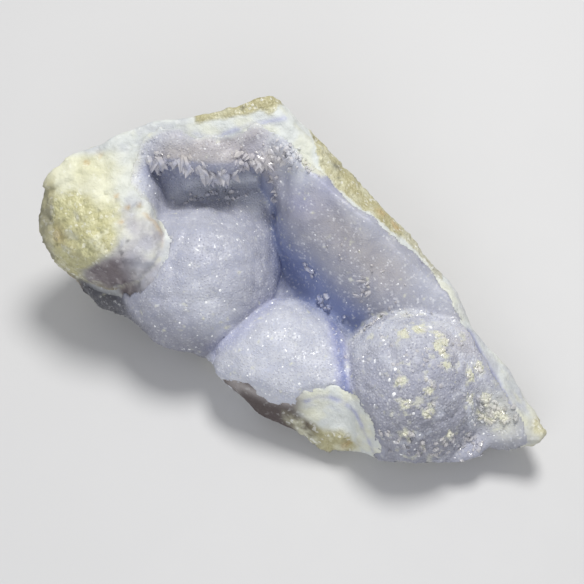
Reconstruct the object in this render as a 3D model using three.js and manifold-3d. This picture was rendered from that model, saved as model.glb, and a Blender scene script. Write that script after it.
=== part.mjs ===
// A piece of blue chalcedony broken from a geode, with the open hollow facing up.
// The stone is one solid: a raised block at the left, a rim along the far side that overhangs a
// recess, three rounded lobes on the floor of the hollow, and a wall that falls to a point at the right.
// A thin crust of quartz crystals lines the hollow, with larger points under the rim.
// Millimetres, +Z up. The stone rests on its flat underside at z = 0, and X runs along its length.
import * as THREE from "three";
import { mergeVertices } from "three/addons/utils/BufferGeometryUtils.js";
import Module from "manifold-3d";

// Size of the piece and fineness of its surface
const LOW = [-58, -42, -10];
const HIGH = [58, 42, 46];
const STONE_CELL = 3.2;
const CRUST_CELL = 3.3;

// Outline seen from above, drawn EDGE_ROUND inside the real edge
const EDGE_ROUND = 2;
const OUTLINE = [
  [-47.2, 18], [-43, 20.8], [-34.5, 25], [-20, 26.9], [-9, 28.9], [-2.5, 30.4], [3.5, 29], [10, 22.2],
  [17.8, 12.8], [26.3, 5], [29, 1], [30.2, -1.5], [39, -14], [46, -23.5], [48, -27.5], [47, -29],
  [38.5, -28.3], [35.5, -29.8], [27, -31.5], [17.5, -31], [6, -28.5], [1, -25], [-8, -19],
  [-12.5, -15], [-16.3, -11], [-23.5, -10], [-28.8, -7], [-37, 0], [-44, 5.4], [-49.5, 9], [-49.8, 13],
];
const SIDE_LEAN = 0.3;
const LENGTH_TURN = THREE.MathUtils.degToRad(-32);
const ALONG = [Math.cos(LENGTH_TURN), Math.sin(LENGTH_TURN)];
const ACROSS = [-ALONG[1], ALONG[0]];
const BOWL = { centre: [0, 2, 28], radii: [80, 40, 32] };
const LEFT_UNDERCUT = { from: [-52, -2, -1], to: [-14, -19, 0], radii: [11.5, 9] };

// Slow unevenness of the broken outside: direction and rate, phase, height
const WAVES = [
  { rate: [0.21, 0.11, 0.17], phase: 0.4, height: 0.45 },
  { rate: [-0.16, 0.29, 0.12], phase: 1.9, height: 0.4 },
  { rate: [0.33, -0.19, 0.27], phase: 3.1, height: 0.3 },
  { rate: [0.12, 0.41, -0.35], phase: 5.0, height: 0.25 },
  { rate: [-0.47, 0.1, 0.31], phase: 2.2, height: 0.2 },
];

// Floor and lobes of the hollow
const FLOOR = { height: 9.5, fall: 0.3 };
const LEFT_LOBE = { centre: [-19.5, 6, 10], radii: [16.3, 16, 15.7] };
const RECESS_FLOOR = { centre: [-12, 16.5, 9.5], radii: [12, 9.5, 9.5] };
const RECESS_CORNER = { from: [-23, 21.5, 14.8], to: [-7, 21.5, 14.3], radii: [5, 5] };
const BLOCK_FOOT = { centre: [-35, 8, 5], radii: [13, 12, 10] };
const MIDDLE_LOBES = [
  { centre: [-2.5, -10.5, 4], radii: [15, 14, 13] },
  { centre: [6.5, -17, 4], radii: [12, 12, 12] },
];
const FRONT_BREAK = [
  { point: [7.3, -22.4, 13.2], normal: [-0.08, -0.77, 0.64] },
  { point: [-5, -20.6, 11.8], normal: [-0.36, -0.89, 0.3] },
];
const RIGHT_LOBE = { centre: [23, -17.3, 6.5], radii: [14.5, 16, 15.5] };
const TAIL = { from: [31, -13, 8], to: [45, -26, 2.5], radii: [9.5, 5.5] };

// Wall on the right: points of its crest, and how steeply it falls into the hollow at each
const CREST = [
  { at: [-2.5, 24, 34.5], fall: 6 },
  { at: [4.5, 16.9, 31.5], fall: 3 },
  { at: [15, 9.2, 28], fall: 1.5 },
  { at: [30, -3, 19.8], fall: 1.3 },
  { at: [37.5, -16, 15.5], fall: 1 },
  { at: [48.5, -30, 8.5], fall: 0.8 },
];
const CREST_ROUND = 3;
const OUTER_FALL = 0.8;
const WALL_BULGE = { from: [8, 15.5, 16], to: [27, -3, 9], radii: [10.5, 9] };
const BUTTRESS = { centre: [3.5, 17, 15], radii: [6.8, 9.5, 14] };

// Rim along the far side, the shoulder that joins it to the block, and the recess under it
const RIM = [
  { point: [-12, 29.8, 37.6], normal: [-0.06, -0.47, 0.88] },
  { point: [-15.3, 21.8, 30.8], normal: [0, -0.81, 0.58] },
  { point: [2.8, 26.4, 33.2], normal: [0.7, 0.3, 0.6] },
];
const SHOULDER_TOP = { point: [-33.4, 18.4, 31], normal: [0.5, -0.1, 0.86] };
const SHOULDER = [
  SHOULDER_TOP,
  { point: [-30.9, 6.5, 26.6], normal: [-0.11, -0.38, 0.92] },
  { point: [-34, 12, 28], normal: [0, -1, 0.1] },
  { point: [-37, 18, 28], normal: [-1, 0, 0.2] },
];
const RECESS = [
  { point: [-15, 21.4, 30.2], normal: [0, 0.4, 0.92] },
  { point: [-28.8, 21.5, 29], normal: [-0.93, 0, -0.38] },
  { point: [-24, 22.4, 18], normal: [-0.2, 0.98, -0.3] },
  { point: [-4.5, 22, 24], normal: [0.85, 0.5, 0.1] },
];
const LIP_BULGE = { centre: [-15, 22.2, 30], radii: [4.5, 2.6, 3] };

// Broken faces of the raised block at the left
const BLOCK = [
  { point: [-26.9, 0.5, 26], normal: [-0.11, -0.3, 0.95] },
  { point: [-43, 6, 24.5], normal: [-0.55, -0.5, 0.67] },
  { point: [-29.4, 3.5, 26.6], normal: [0.05, -0.77, 0.63] },
  { point: [-36.2, 1.7, 15], normal: [-0.37, -0.93, -0.04] },
  { point: [-51.8, 13, 21], normal: [-0.95, -0.15, 0.2] },
  { point: [-25.4, 7, 28.2], normal: [0.78, 0.57, 0.25] },
  SHOULDER_TOP,
  { point: [-30, -1.2, 20.9], normal: [0.73, -0.145, -0.667] },
  { point: [-38, 26, 20], normal: [0, 1, 0] },
  { point: [-50, 14, 14], normal: [-0.8, 0, -0.5] },
];

// Crust of crystals: its edge seen from above, the level it stays above at the middle of the piece and
// how that level falls to the right, its gap to the stone, and its thickness with the lumps on it
const CRUST_EDGE = [
  [-32.5, 23], [-24, 25.8], [-15, 25.8], [-8, 27], [-2, 27], [2.5, 20.5], [14, 10], [29, -2.5], [37, -16],
  [46, -27], [37, -28], [27, -32], [17.5, -31.5], [14, -25.5], [7, -22], [-1, -22.3], [-6, -20.4],
  [-12.5, -16], [-16, -11.5], [-23.5, -10.5], [-29.5, -6], [-34, -2], [-30.5, -0.8], [-26, 2.2], [-23.6, 6.5],
  [-27.5, 13], [-31, 16],
];
const CRUST_FLOOR = 7.2;
const CRUST_FLOOR_FALL = 0.1;
const CRUST_GAP = 0.35;
const CRUST_TOP = 1.5;
const LUMP = { pitch: 9, height: 0.35 };

// Quartz points. Each row runs through the given places near the crust; the points of a row are spread
// evenly along it and turned a little each way from the row's direction.
const POINT_ROWS = [
  {
    name: "rim teeth",
    path: [[-27.5, 20, 29], [-24, 20.5, 29.5], [-18.4, 20.4, 29], [-15, 19, 27.5], [-11.5, 20.4, 29], [-4, 21.5, 30]],
    count: 17,
    toward: [0, -0.55, -0.85],
    radius: 1.3,
    length: 3.2,
  },
  {
    name: "rim face",
    path: [[-25, 19.5, 30.5], [-19, 20.6, 31], [-12, 20, 30.5], [-5, 22, 31.5]],
    count: 13,
    toward: [0, -0.85, -0.35],
    radius: 1.4,
    length: 2.4,
  },
  {
    name: "recess end",
    path: [[-3, 21, 28.5], [-2.5, 18.5, 25], [-2.8, 17.5, 20], [-2.2, 15, 17], [-3, 12.5, 14]],
    count: 9,
    toward: [-0.75, -0.5, 0.3],
    radius: 1.4,
    length: 2.6,
  },
  {
    name: "right lobe edge",
    path: [[11, -8.5, 16], [14.4, -4.5, 17], [21.4, -3, 18], [27, -5, 19], [31, -9, 19]],
    count: 12,
    toward: [-0.25, 0.6, 0.75],
    radius: 1.8,
    length: 2.3,
  },
  {
    name: "wall foot",
    path: [[14, 3, 15], [19, 1, 17], [22, -1, 17]],
    count: 5,
    toward: [-0.5, -0.55, 0.65],
    radius: 1.6,
    length: 1.8,
  },
  {
    name: "tail",
    path: [[34, -20, 14], [38, -22.5, 11], [43, -26, 8.5]],
    count: 7,
    toward: [-0.1, -0.6, 0.8],
    radius: 1.7,
    length: 1.9,
  },
];
const LOBE_POINTS = { count: 26, radius: 2, length: 1.7 };

function dot(a, b) {
  return a[0] * b[0] + a[1] * b[1] + a[2] * b[2];
}

function minus(a, b) {
  return [a[0] - b[0], a[1] - b[1], a[2] - b[2]];
}

function smoothMin(a, b, width) {
  const h = THREE.MathUtils.clamp(0.5 + (0.5 * (b - a)) / width, 0, 1);
  return b + (a - b) * h - width * h * (1 - h);
}

function smoothMax(a, b, width) {
  return -smoothMin(-a, -b, width);
}

// Each shape below gives the distance of a point from its surface, below zero inside.
function ellipsoid(p, { centre, radii }) {
  const q = minus(p, centre);
  const inner = Math.hypot(q[0] / radii[0], q[1] / radii[1], q[2] / radii[2]);
  const slope = Math.hypot(q[0] / radii[0] ** 2, q[1] / radii[1] ** 2, q[2] / radii[2] ** 2);
  return (inner * (inner - 1)) / Math.max(slope, 1e-6);
}

function roundBar(p, { from, to, radii }) {
  const axis = minus(to, from);
  const q = minus(p, from);
  const share = THREE.MathUtils.clamp(dot(q, axis) / dot(axis, axis), 0, 1);
  const off = minus(q, axis.map((a) => a * share));
  return Math.hypot(...off) - (radii[0] + (radii[1] - radii[0]) * share);
}

function faceted(p, faces, width) {
  const distances = faces.map(({ point, normal }) => dot(minus(p, point), normal) / Math.hypot(...normal));
  return distances.reduce((a, b) => smoothMax(a, b, width));
}

function outline(x, y) {
  let nearest = Infinity;
  let inside = false;
  OUTLINE.forEach(([ax, ay], i) => {
    const [bx, by] = OUTLINE[(i + 1) % OUTLINE.length];
    const ex = bx - ax;
    const ey = by - ay;
    const wx = x - ax;
    const wy = y - ay;
    const share = THREE.MathUtils.clamp((wx * ex + wy * ey) / (ex * ex + ey * ey), 0, 1);
    nearest = Math.min(nearest, Math.hypot(wx - ex * share, wy - ey * share));
    if (ay > y !== by > y && wx < (ex * wy) / ey) inside = !inside;
  });
  return (inside ? -nearest : nearest) - EDGE_ROUND;
}

function unevenness(p) {
  return WAVES.reduce((sum, { rate, phase, height }) => sum + height * Math.sin(dot(p, rate) + phase), 0);
}

// Outside of the stone: sides that lean in below a line that rises to the back and left, and a bowl below
function outside(p) {
  const [x, y, z] = p;
  const leanStart = 5.5 + 0.4 * Math.max(-12 - x, 0);
  const side = outline(x, y) + SIDE_LEAN * Math.max(leanStart - z, 0);
  const along = x * ALONG[0] + y * ALONG[1];
  const across = x * ACROSS[0] + y * ACROSS[1];
  let d = smoothMax(side, ellipsoid([along, across, z], BOWL), 4);
  d = smoothMax(d, -roundBar(p, LEFT_UNDERCUT), 2);
  return d + unevenness(p) + 0.3;
}

function wall(p) {
  const [x, y, z] = p;
  let top = -Infinity;
  for (let i = 0; i + 1 < CREST.length; i++) {
    const [ax, ay, az] = CREST[i].at;
    const [bx, by, bz] = CREST[i + 1].at;
    const ex = bx - ax;
    const ey = by - ay;
    const length = Math.hypot(ex, ey);
    const t = ((x - ax) * ex + (y - ay) * ey) / length;
    const side = ((x - ax) * ey - (y - ay) * ex) / length;
    const share = THREE.MathUtils.clamp(t / length, 0, 1);
    const far = Math.hypot(side, t - share * length);
    const fall = THREE.MathUtils.lerp(CREST[i].fall, CREST[i + 1].fall, share);
    const drop = side > 0 ? (fall * far * far) / (far + CREST_ROUND) : OUTER_FALL * far;
    const height = THREE.MathUtils.lerp(az, bz, share) - drop;
    top = i === 0 ? height : smoothMax(top, height, 3);
  }
  let d = (z - top) * 0.6;
  d = smoothMin(d, roundBar(p, WALL_BULGE), 3);
  return smoothMin(d, ellipsoid(p, BUTTRESS), 3);
}

function rim(p) {
  const solid = smoothMin(faceted(p, RIM, 1.5), faceted(p, SHOULDER, 1), 3);
  const hollowed = smoothMax(solid, -faceted(p, RECESS, 3), 0.8);
  return smoothMin(hollowed, ellipsoid(p, LIP_BULGE), 3);
}

function middleLobe(p) {
  const lobes = smoothMin(ellipsoid(p, MIDDLE_LOBES[0]), ellipsoid(p, MIDDLE_LOBES[1]), 4);
  return smoothMax(lobes, faceted(p, FRONT_BREAK, 0.8), 0.6);
}

function stone(p) {
  const across = p[0] * ACROSS[0] + p[1] * ACROSS[1];
  let d = (p[2] - FLOOR.height - FLOOR.fall * Math.min(across, 0)) * 0.9;
  d = smoothMin(d, smoothMin(ellipsoid(p, LEFT_LOBE), ellipsoid(p, RECESS_FLOOR), 5), 1.5);
  d = smoothMin(d, roundBar(p, RECESS_CORNER), 4);
  d = smoothMin(d, ellipsoid(p, BLOCK_FOOT), 1.5);
  d = smoothMin(d, middleLobe(p), 0.8);
  d = smoothMin(d, wall(p), 1.5);
  d = smoothMin(d, smoothMin(ellipsoid(p, RIGHT_LOBE), roundBar(p, TAIL), 5), 1.2);
  d = smoothMin(d, rim(p), 3);
  d = smoothMin(d, faceted(p, BLOCK, 1.6), 0.8);
  return smoothMax(d, outside(p), 1.2);
}

function normalOf(shape, p) {
  const reach = 0.2;
  const slope = [0, 1, 2].map((axis) => {
    const a = [...p];
    const b = [...p];
    a[axis] += reach;
    b[axis] -= reach;
    return shape(a) - shape(b);
  });
  const size = Math.max(Math.hypot(...slope), 1e-9);
  return slope.map((v) => v / size);
}

// The point of a grid cell that lies nearest to the surface planes at all the crossed edges of the cell,
// which keeps ridges and corners sharp
function meetingPoint(crossings, corner, cell) {
  let p = [0, 1, 2].map((axis) => crossings.reduce((sum, c) => sum + c.point[axis], 0) / crossings.length);
  for (let round = 0; round < 12; round++) {
    const pull = [0, 0, 0];
    for (const { point, normal } of crossings) {
      const off = dot(minus(point, p), normal);
      normal.forEach((n, axis) => (pull[axis] += (n * off) / crossings.length));
    }
    p = p.map((v, axis) => THREE.MathUtils.clamp(v + pull[axis], corner[axis], corner[axis] + cell));
  }
  return p;
}

// Distances at the corners of a grid. Where the four corners of a grid square alternate between inside
// and outside, the outer corner nearest to the surface is taken in, so that no two walls share an edge.
function sampled(shape, cell) {
  const count = LOW.map((low, axis) => Math.ceil((HIGH[axis] - low) / cell) + 1);
  const place = (g) => g.map((n, axis) => LOW[axis] + n * cell);
  const index = (g) => g[0] + count[0] * (g[1] + count[1] * g[2]);
  const corners = [];
  for (let k = 0; k < count[2]; k++) {
    for (let j = 0; j < count[1]; j++) {
      for (let i = 0; i < count[0]; i++) corners.push([i, j, k]);
    }
  }
  const value = corners.map((g) => shape(place(g)) || 1e-6);
  let changed = true;
  while (changed) {
    changed = false;
    for (const g of corners) {
      for (let axis = 0; axis < 3; axis++) {
        const u = (axis + 1) % 3;
        const v = (axis + 2) % 3;
        if (g[u] + 1 >= count[u] || g[v] + 1 >= count[v]) continue;
        const square = [[0, 0], [1, 0], [1, 1], [0, 1]].map(([du, dv]) => {
          const corner = [...g];
          corner[u] += du;
          corner[v] += dv;
          return index(corner);
        });
        const within = square.map((n) => value[n] < 0);
        if (within[0] !== within[2] || within[1] !== within[3] || within[0] === within[1]) continue;
        const outer = square.filter((n, i) => !within[i]).sort((m, n) => value[m] - value[n])[0];
        value[outer] = -0.1 * cell;
        changed = true;
      }
    }
  }
  return { count, place, index, value };
}

// The surface of a distance function as a closed mesh: one vertex in each grid cell that the surface
// crosses, and one pair of triangles round each grid edge that it crosses.
function skin(shape, cell) {
  const { count, place, index, value } = sampled(shape, cell);
  const valueAt = (g) => value[index(g)];
  const positions = [];
  const vertexOf = new Map();
  const vertexAt = (g) => {
    const key = index(g);
    if (vertexOf.has(key)) return vertexOf.get(key);
    const crossings = [];
    for (let axis = 0; axis < 3; axis++) {
      for (let corner = 0; corner < 4; corner++) {
        const a = [...g];
        a[(axis + 1) % 3] += corner & 1;
        a[(axis + 2) % 3] += corner >> 1;
        const b = [...a];
        b[axis] += 1;
        const va = valueAt(a);
        const vb = valueAt(b);
        if (va < 0 === vb < 0) continue;
        const point = place(a);
        point[axis] += (cell * va) / (va - vb);
        crossings.push({ point, normal: normalOf(shape, point) });
      }
    }
    const p = meetingPoint(crossings, place(g), cell);
    vertexOf.set(key, positions.length / 3);
    positions.push(...p);
    return vertexOf.get(key);
  };
  const triangles = [];
  for (let k = 1; k < count[2] - 1; k++) {
    for (let j = 1; j < count[1] - 1; j++) {
      for (let i = 1; i < count[0] - 1; i++) {
        const a = [i, j, k];
        for (let axis = 0; axis < 3; axis++) {
          const b = [...a];
          b[axis] += 1;
          const enters = valueAt(b) < 0;
          if (valueAt(a) < 0 === enters) continue;
          const ring = [[0, 0], [1, 0], [1, 1], [0, 1]].map(([u, v]) => {
            const g = [...a];
            g[(axis + 1) % 3] -= u;
            g[(axis + 2) % 3] -= v;
            return vertexAt(g);
          });
          if (enters) ring.reverse();
          triangles.push(ring[0], ring[1], ring[2], ring[0], ring[2], ring[3]);
        }
      }
    }
  }
  const geometry = new THREE.BufferGeometry();
  geometry.setAttribute("position", new THREE.Float32BufferAttribute(positions, 3));
  geometry.setIndex(triangles);
  return geometry;
}

// The same mesh with each vertex moved out along the surface normal
function thickened(geometry, shape, distance) {
  const moved = geometry.clone();
  const place = moved.getAttribute("position");
  for (let i = 0; i < place.count; i++) {
    const p = [place.getX(i), place.getY(i), place.getZ(i)];
    const normal = normalOf(shape, p);
    place.setXYZ(i, ...p.map((v, axis) => v + normal[axis] * distance));
  }
  return moved;
}

const wasm = await Module();
wasm.setup();

// Geometry to solid and back, for the cuts and joins
function solid(geometry) {
  const bare = geometry.clone();
  bare.deleteAttribute("normal");
  bare.deleteAttribute("uv");
  const merged = mergeVertices(bare, 1e-4);
  const mesh = new wasm.Mesh({
    numProp: 3,
    vertProperties: new Float32Array(merged.getAttribute("position").array),
    triVerts: new Uint32Array(merged.index.array),
  });
  return new wasm.Manifold(mesh);
}

function largest(manifold) {
  return manifold.decompose().sort((a, b) => b.volume() - a.volume())[0];
}

function geometryOf(manifold) {
  const mesh = manifold.getMesh();
  const geometry = new THREE.BufferGeometry();
  geometry.setAttribute("position", new THREE.Float32BufferAttribute(mesh.vertProperties, 3));
  geometry.setIndex([...mesh.triVerts]);
  return geometry;
}

// Top of the crust: a little above the stone, with low rounded lumps
function crustTop(p) {
  const rate = (2 * Math.PI) / LUMP.pitch;
  const lumps = Math.sin(p[0] * rate) * Math.sin(p[1] * rate) * Math.sin(p[2] * rate);
  return stone(p) - CRUST_TOP - LUMP.height * lumps;
}

function onto(shape, start) {
  let p = start;
  for (let round = 0; round < 8; round++) {
    const normal = normalOf(shape, p);
    const off = THREE.MathUtils.clamp(shape(p), -3, 3);
    p = minus(p, normal.map((n) => n * off));
  }
  return p;
}

// A six-sided quartz point rooted at a place and pointing along a direction
function quartzPoint(place, direction, radius, length) {
  const profile = [[0, -0.8], [radius, 0], [0, length]];
  const geometry = new THREE.LatheGeometry(profile.map(([r, h]) => new THREE.Vector2(r, h)), 6);
  const up = new THREE.Vector3(0, 1, 0);
  const turn = new THREE.Quaternion().setFromUnitVectors(up, new THREE.Vector3(...direction).normalize());
  return solid(geometry.applyQuaternion(turn).translate(...place));
}

// Uneven but repeatable turn of the nth point of a group
function scatter(n, amount) {
  return [Math.sin(n * 2.4), Math.sin(n * 3.7 + 1), Math.sin(n * 5.1 + 2)].map((v) => v * amount);
}

function rowOfPoints({ path, count, toward, radius, length }) {
  const curve = new THREE.CatmullRomCurve3(path.map((p) => new THREE.Vector3(...p)));
  return Array.from({ length: count }, (_, n) => {
    const near = curve.getPointAt((n + 0.5) / count).toArray();
    const place = onto(crustTop, near.map((v, axis) => v + scatter(n, 0.8)[axis]));
    const direction = toward.map((v, axis) => v + scatter(n + 7, 0.3)[axis]);
    const size = 0.85 + 0.25 * Math.sin(n * 4.3);
    return quartzPoint(place, direction, radius * size, length * size);
  });
}

// Points spread over the right lobe on a spiral that opens from its top
function lobePoints({ count, radius, length }) {
  return Array.from({ length: count }, (_, n) => {
    const turn = n * 2.4;
    const tilt = Math.acos(1 - (0.75 * (n + 0.5)) / count);
    const out = [Math.cos(turn) * Math.sin(tilt), Math.sin(turn) * Math.sin(tilt), Math.cos(tilt)];
    const start = RIGHT_LOBE.centre.map((v, axis) => v + out[axis] * (RIGHT_LOBE.radii[axis] + CRUST_TOP));
    const place = onto(crustTop, start);
    const direction = normalOf(stone, place).map((v, axis) => v + scatter(n, 0.3)[axis]);
    const size = 0.8 + 0.3 * Math.sin(n * 4.3);
    return quartzPoint(place, direction, radius * size, length * size);
  });
}

// The room that the crust may fill: an upright block with the crust's outline, above a slanting floor
function crustRoom() {
  const edge = new THREE.Shape(CRUST_EDGE.map(([x, y]) => new THREE.Vector2(x, y)));
  const block = new THREE.ExtrudeGeometry(edge, { depth: HIGH[2], bevelEnabled: false });
  const floor = new THREE.BoxGeometry(300, 300, 60).translate(0, 0, -30);
  floor.rotateY(Math.atan(CRUST_FLOOR_FALL)).rotateZ(LENGTH_TURN).translate(0, 0, CRUST_FLOOR);
  return solid(block).subtract(solid(floor));
}

// The stone with the gap added all round
function crustBed(geometry) {
  return solid(thickened(geometry, stone, CRUST_GAP)).add(solid(geometry));
}

const stoneSkin = skin(stone, STONE_CELL);
const ground = new THREE.BoxGeometry(200, 200, 40).translate(0, 0, -20);
const stoneSolid = largest(solid(stoneSkin).subtract(solid(ground)));

const points = [...POINT_ROWS.flatMap(rowOfPoints), ...lobePoints(LOBE_POINTS)];
const lining = solid(skin(crustTop, CRUST_CELL)).intersect(crustRoom());
const grown = points.reduce((sum, point) => sum.add(point), lining);
const crustSolid = largest(grown.subtract(crustBed(stoneSkin)));

const stoneMesh = new THREE.Mesh(
  geometryOf(stoneSolid),
  new THREE.MeshStandardMaterial({ color: 0xb9b9b0, roughness: 0.6, metalness: 0 }),
);
stoneMesh.name = "chalcedony";

const crustMesh = new THREE.Mesh(
  geometryOf(crustSolid),
  new THREE.MeshStandardMaterial({ color: 0x9da6cf, roughness: 0.35, metalness: 0 }),
);
crustMesh.name = "druse_crust";

const part = new THREE.Group();
part.add(stoneMesh, crustMesh);

export default part;
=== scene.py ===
import math

import bpy
import numpy as np
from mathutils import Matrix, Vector


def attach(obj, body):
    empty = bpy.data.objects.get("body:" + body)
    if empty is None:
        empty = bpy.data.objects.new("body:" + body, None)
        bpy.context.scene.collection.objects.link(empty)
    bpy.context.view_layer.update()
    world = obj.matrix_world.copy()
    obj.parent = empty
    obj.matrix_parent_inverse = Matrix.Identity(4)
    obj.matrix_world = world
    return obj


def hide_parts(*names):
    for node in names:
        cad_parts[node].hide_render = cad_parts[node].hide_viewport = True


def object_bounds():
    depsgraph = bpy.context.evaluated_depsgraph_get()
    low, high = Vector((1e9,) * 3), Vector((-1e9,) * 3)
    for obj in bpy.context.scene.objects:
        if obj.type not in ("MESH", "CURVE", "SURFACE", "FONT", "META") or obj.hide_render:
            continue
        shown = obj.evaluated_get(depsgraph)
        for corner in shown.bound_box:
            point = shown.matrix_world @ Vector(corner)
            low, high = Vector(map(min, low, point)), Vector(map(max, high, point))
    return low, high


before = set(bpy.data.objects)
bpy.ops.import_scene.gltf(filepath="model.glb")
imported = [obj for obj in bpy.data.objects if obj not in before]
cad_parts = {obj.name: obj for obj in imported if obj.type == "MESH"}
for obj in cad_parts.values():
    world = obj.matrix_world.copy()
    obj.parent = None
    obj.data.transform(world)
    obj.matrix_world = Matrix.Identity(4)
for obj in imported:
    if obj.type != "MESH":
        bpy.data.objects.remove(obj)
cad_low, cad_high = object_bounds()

bl_info = {
    "name": "Chalcedony with quartz druse",
    "version": (1, 0, 0),
    "blender": (4, 5, 0),
    "location": "View3D > Sidebar > Chalcedony",
    "description": "Builds a broken piece of blue chalcedony, its hollow lined with small quartz crystals",
    "category": "Add Mesh",
}

MM = 0.001
LOW = np.array(cad_low) / MM
HIGH = np.array(cad_high) / MM

# Every number on the stone's form is in millimetres.
# The outline seen from above is drawn EDGE_ROUND inside the real edge.
EDGE_ROUND = 2.0
OUTLINE = [
    (-47.2, 18), (-43, 20.8), (-34.5, 25), (-20, 26.9), (-9, 28.9), (-2.5, 30.4), (3.5, 29), (10, 22.2),
    (17.8, 12.8), (26.3, 5), (29, 1), (30.2, -1.5), (39, -14), (46, -23.5), (48, -27.5), (47, -29),
    (38.5, -28.3), (35.5, -29.8), (27, -31.5), (17.5, -31), (6, -28.5), (1, -25), (-8, -19),
    (-12.5, -15), (-16.3, -11), (-23.5, -10), (-28.8, -7), (-37, 0), (-44, 5.4), (-49.5, 9), (-49.8, 13),
]
LENGTH_TURN = math.radians(-32)
ALONG = np.array([math.cos(LENGTH_TURN), math.sin(LENGTH_TURN), 0])
ACROSS = np.array([-ALONG[1], ALONG[0], 0])

# Slow unevenness of the broken outside: direction and rate, phase, height
WAVES = [
    ((0.21, 0.11, 0.17), 0.4, 0.45),
    ((-0.16, 0.29, 0.12), 1.9, 0.4),
    ((0.33, -0.19, 0.27), 3.1, 0.3),
    ((0.12, 0.41, -0.35), 5.0, 0.25),
    ((-0.47, 0.1, 0.31), 2.2, 0.2),
]

# Points of the wall's crest, each with how steeply it falls into the hollow
CREST = [
    (-2.5, 24, 34.5, 6.0),
    (4.5, 16.9, 31.5, 3.0),
    (15, 9.2, 28, 1.5),
    (30, -3, 19.8, 1.3),
    (37.5, -16, 15.5, 1.0),
    (48.5, -30, 8.5, 0.8),
]

# Flat breaks, each a point on it and the direction it faces
BLOCK_TOP = (-0.11, -0.3, 0.95)
BLOCK_LEFT = (-0.55, -0.5, 0.67)
BLOCK_FRONT = (0.05, -0.77, 0.63)
BLOCK_LOW = (-0.37, -0.93, -0.04)
SHOULDER_TOP = ((-33.4, 18.4, 31), (0.5, -0.1, 0.86))
BLOCK = [
    ((-26.9, 0.5, 26), BLOCK_TOP),
    ((-43, 6, 24.5), BLOCK_LEFT),
    ((-29.4, 3.5, 26.6), BLOCK_FRONT),
    ((-36.2, 1.7, 15), BLOCK_LOW),
    ((-51.8, 13, 21), (-0.95, -0.15, 0.2)),
    ((-25.4, 7, 28.2), (0.78, 0.57, 0.25)),
    SHOULDER_TOP,
    ((-30, -1.2, 20.9), (0.73, -0.145, -0.667)),
    ((-38, 26, 20), (0, 1, 0)),
    ((-50, 14, 14), (-0.8, 0, -0.5)),
]
RIM = [
    ((-12, 29.8, 37.6), (-0.06, -0.47, 0.88)),
    ((-15.3, 21.8, 30.8), (0, -0.81, 0.58)),
    ((2.8, 26.4, 33.2), (0.7, 0.3, 0.6)),
]
SHOULDER = [
    SHOULDER_TOP,
    ((-30.9, 6.5, 26.6), (-0.11, -0.38, 0.92)),
    ((-34, 12, 28), (0, -1, 0.1)),
    ((-37, 18, 28), (-1, 0, 0.2)),
]
RECESS = [
    ((-15, 21.4, 30.2), (0, 0.4, 0.92)),
    ((-28.8, 21.5, 29), (-0.93, 0, -0.38)),
    ((-24, 22.4, 18), (-0.2, 0.98, -0.3)),
    ((-4.5, 22, 24), (0.85, 0.5, 0.1)),
]
LOBE_BREAK = [
    ((7.3, -22.4, 13.2), (-0.08, -0.77, 0.64)),
    ((-5, -20.6, 11.8), (-0.36, -0.89, 0.3)),
]

# Where the crystal lining ends, seen from above, and how low it reaches
LINING_EDGE = [
    (-30.2, 24.4), (-28.6, 26), (-26.2, 26.6), (-22.2, 26.1), (-18.2, 24.9), (-14.3, 24.9), (-10.3, 25.8),
    (-6.7, 26.4), (-3.4, 25.4), (1.6, 22.3), (5.8, 18.6), (12.2, 12.2), (17.5, 9), (24.8, 5), (29.6, -0.8),
    (37.2, -15.5), (44.5, -26.5), (45.2, -32), (37, -33), (27, -36), (17.3, -35), (16.3, -31), (15, -28.3),
    (13.7, -25.5), (11.9, -22.9), (9, -21.4), (5.2, -21.2), (2.3, -21.7), (-0.4, -22.6), (-4.3, -21.4),
    (-8.2, -19.8), (-12.4, -17.6), (-16, -15), (-25, -14.5), (-31, -10), (-41, -4), (-46, 3), (-42.4, 4.9),
    (-37.6, 1.9), (-34.8, 0.9), (-32.3, -1.2), (-30, -2), (-27.4, -1), (-25.6, 0.8), (-24.4, 3),
    (-23.6, 6.2), (-25.3, 9.3), (-27, 11.6), (-28.6, 13.4), (-31, 14.6), (-32.4, 16.2), (-32.2, 18.5),
    (-31.2, 21.5),
]
LINING_FLOOR = 3.0

# Lines on the surface: creases of the lining, edges, cracks and bands
VALLEY = [
    (-3.6, 22, 16), (-2.7, 13.7, 14), (-0.8, 8.2, 12), (1.6, 5.0, 11.5), (5.3, 0.5, 11.5), (11.7, -4.4, 11),
]
CREASE_LEFT = [
    (-3.5, 0.8, 11.7), (-6, -4.2, 15.2), (-8.7, -7.4, 15.5), (-11.8, -9.5, 14.1), (-15.1, -10.5, 11),
]
CREASE_RIGHT = [(8, -5.6, 12.4), (9, -11.5, 14.8), (9.7, -16.4, 15.6), (10, -20.5, 15), (11.2, -23.1, 13.7)]
GROOVE = [(34.8, -9.5, 17.1), (38.3, -17, 15.6), (41.2, -21.5, 13), (43.3, -26.5, 10.6), (44.6, -30.5, 8)]
LIP = [
    (-28.2, 21.5, 31.2), (-25.3, 21.2, 30), (-20.3, 21.8, 30.4), (-15.4, 20, 28.2), (-11.4, 21.2, 29.9),
    (-6, 21.8, 30.8), (-2.4, 22.6, 32),
]
RIM_BAND = [
    (-20.2, 25.5, 34.6), (-15.3, 24.6, 34.3), (-12.3, 25.5, 35), (-8.3, 26.5, 36), (-4.4, 26.9, 36.5),
    (-1.4, 27.6, 36.8),
]
CHUNK_BAND = [
    (2.5, -22.7, 12.2), (5, -22.2, 13.2), (7.3, -22.3, 13.4), (10.2, -23.2, 12.8), (12.1, -25.4, 13.1),
    (13.4, -27.7, 12.3), (14.6, -29.8, 10.1), (15.9, -31.2, 6.3),
]
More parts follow.
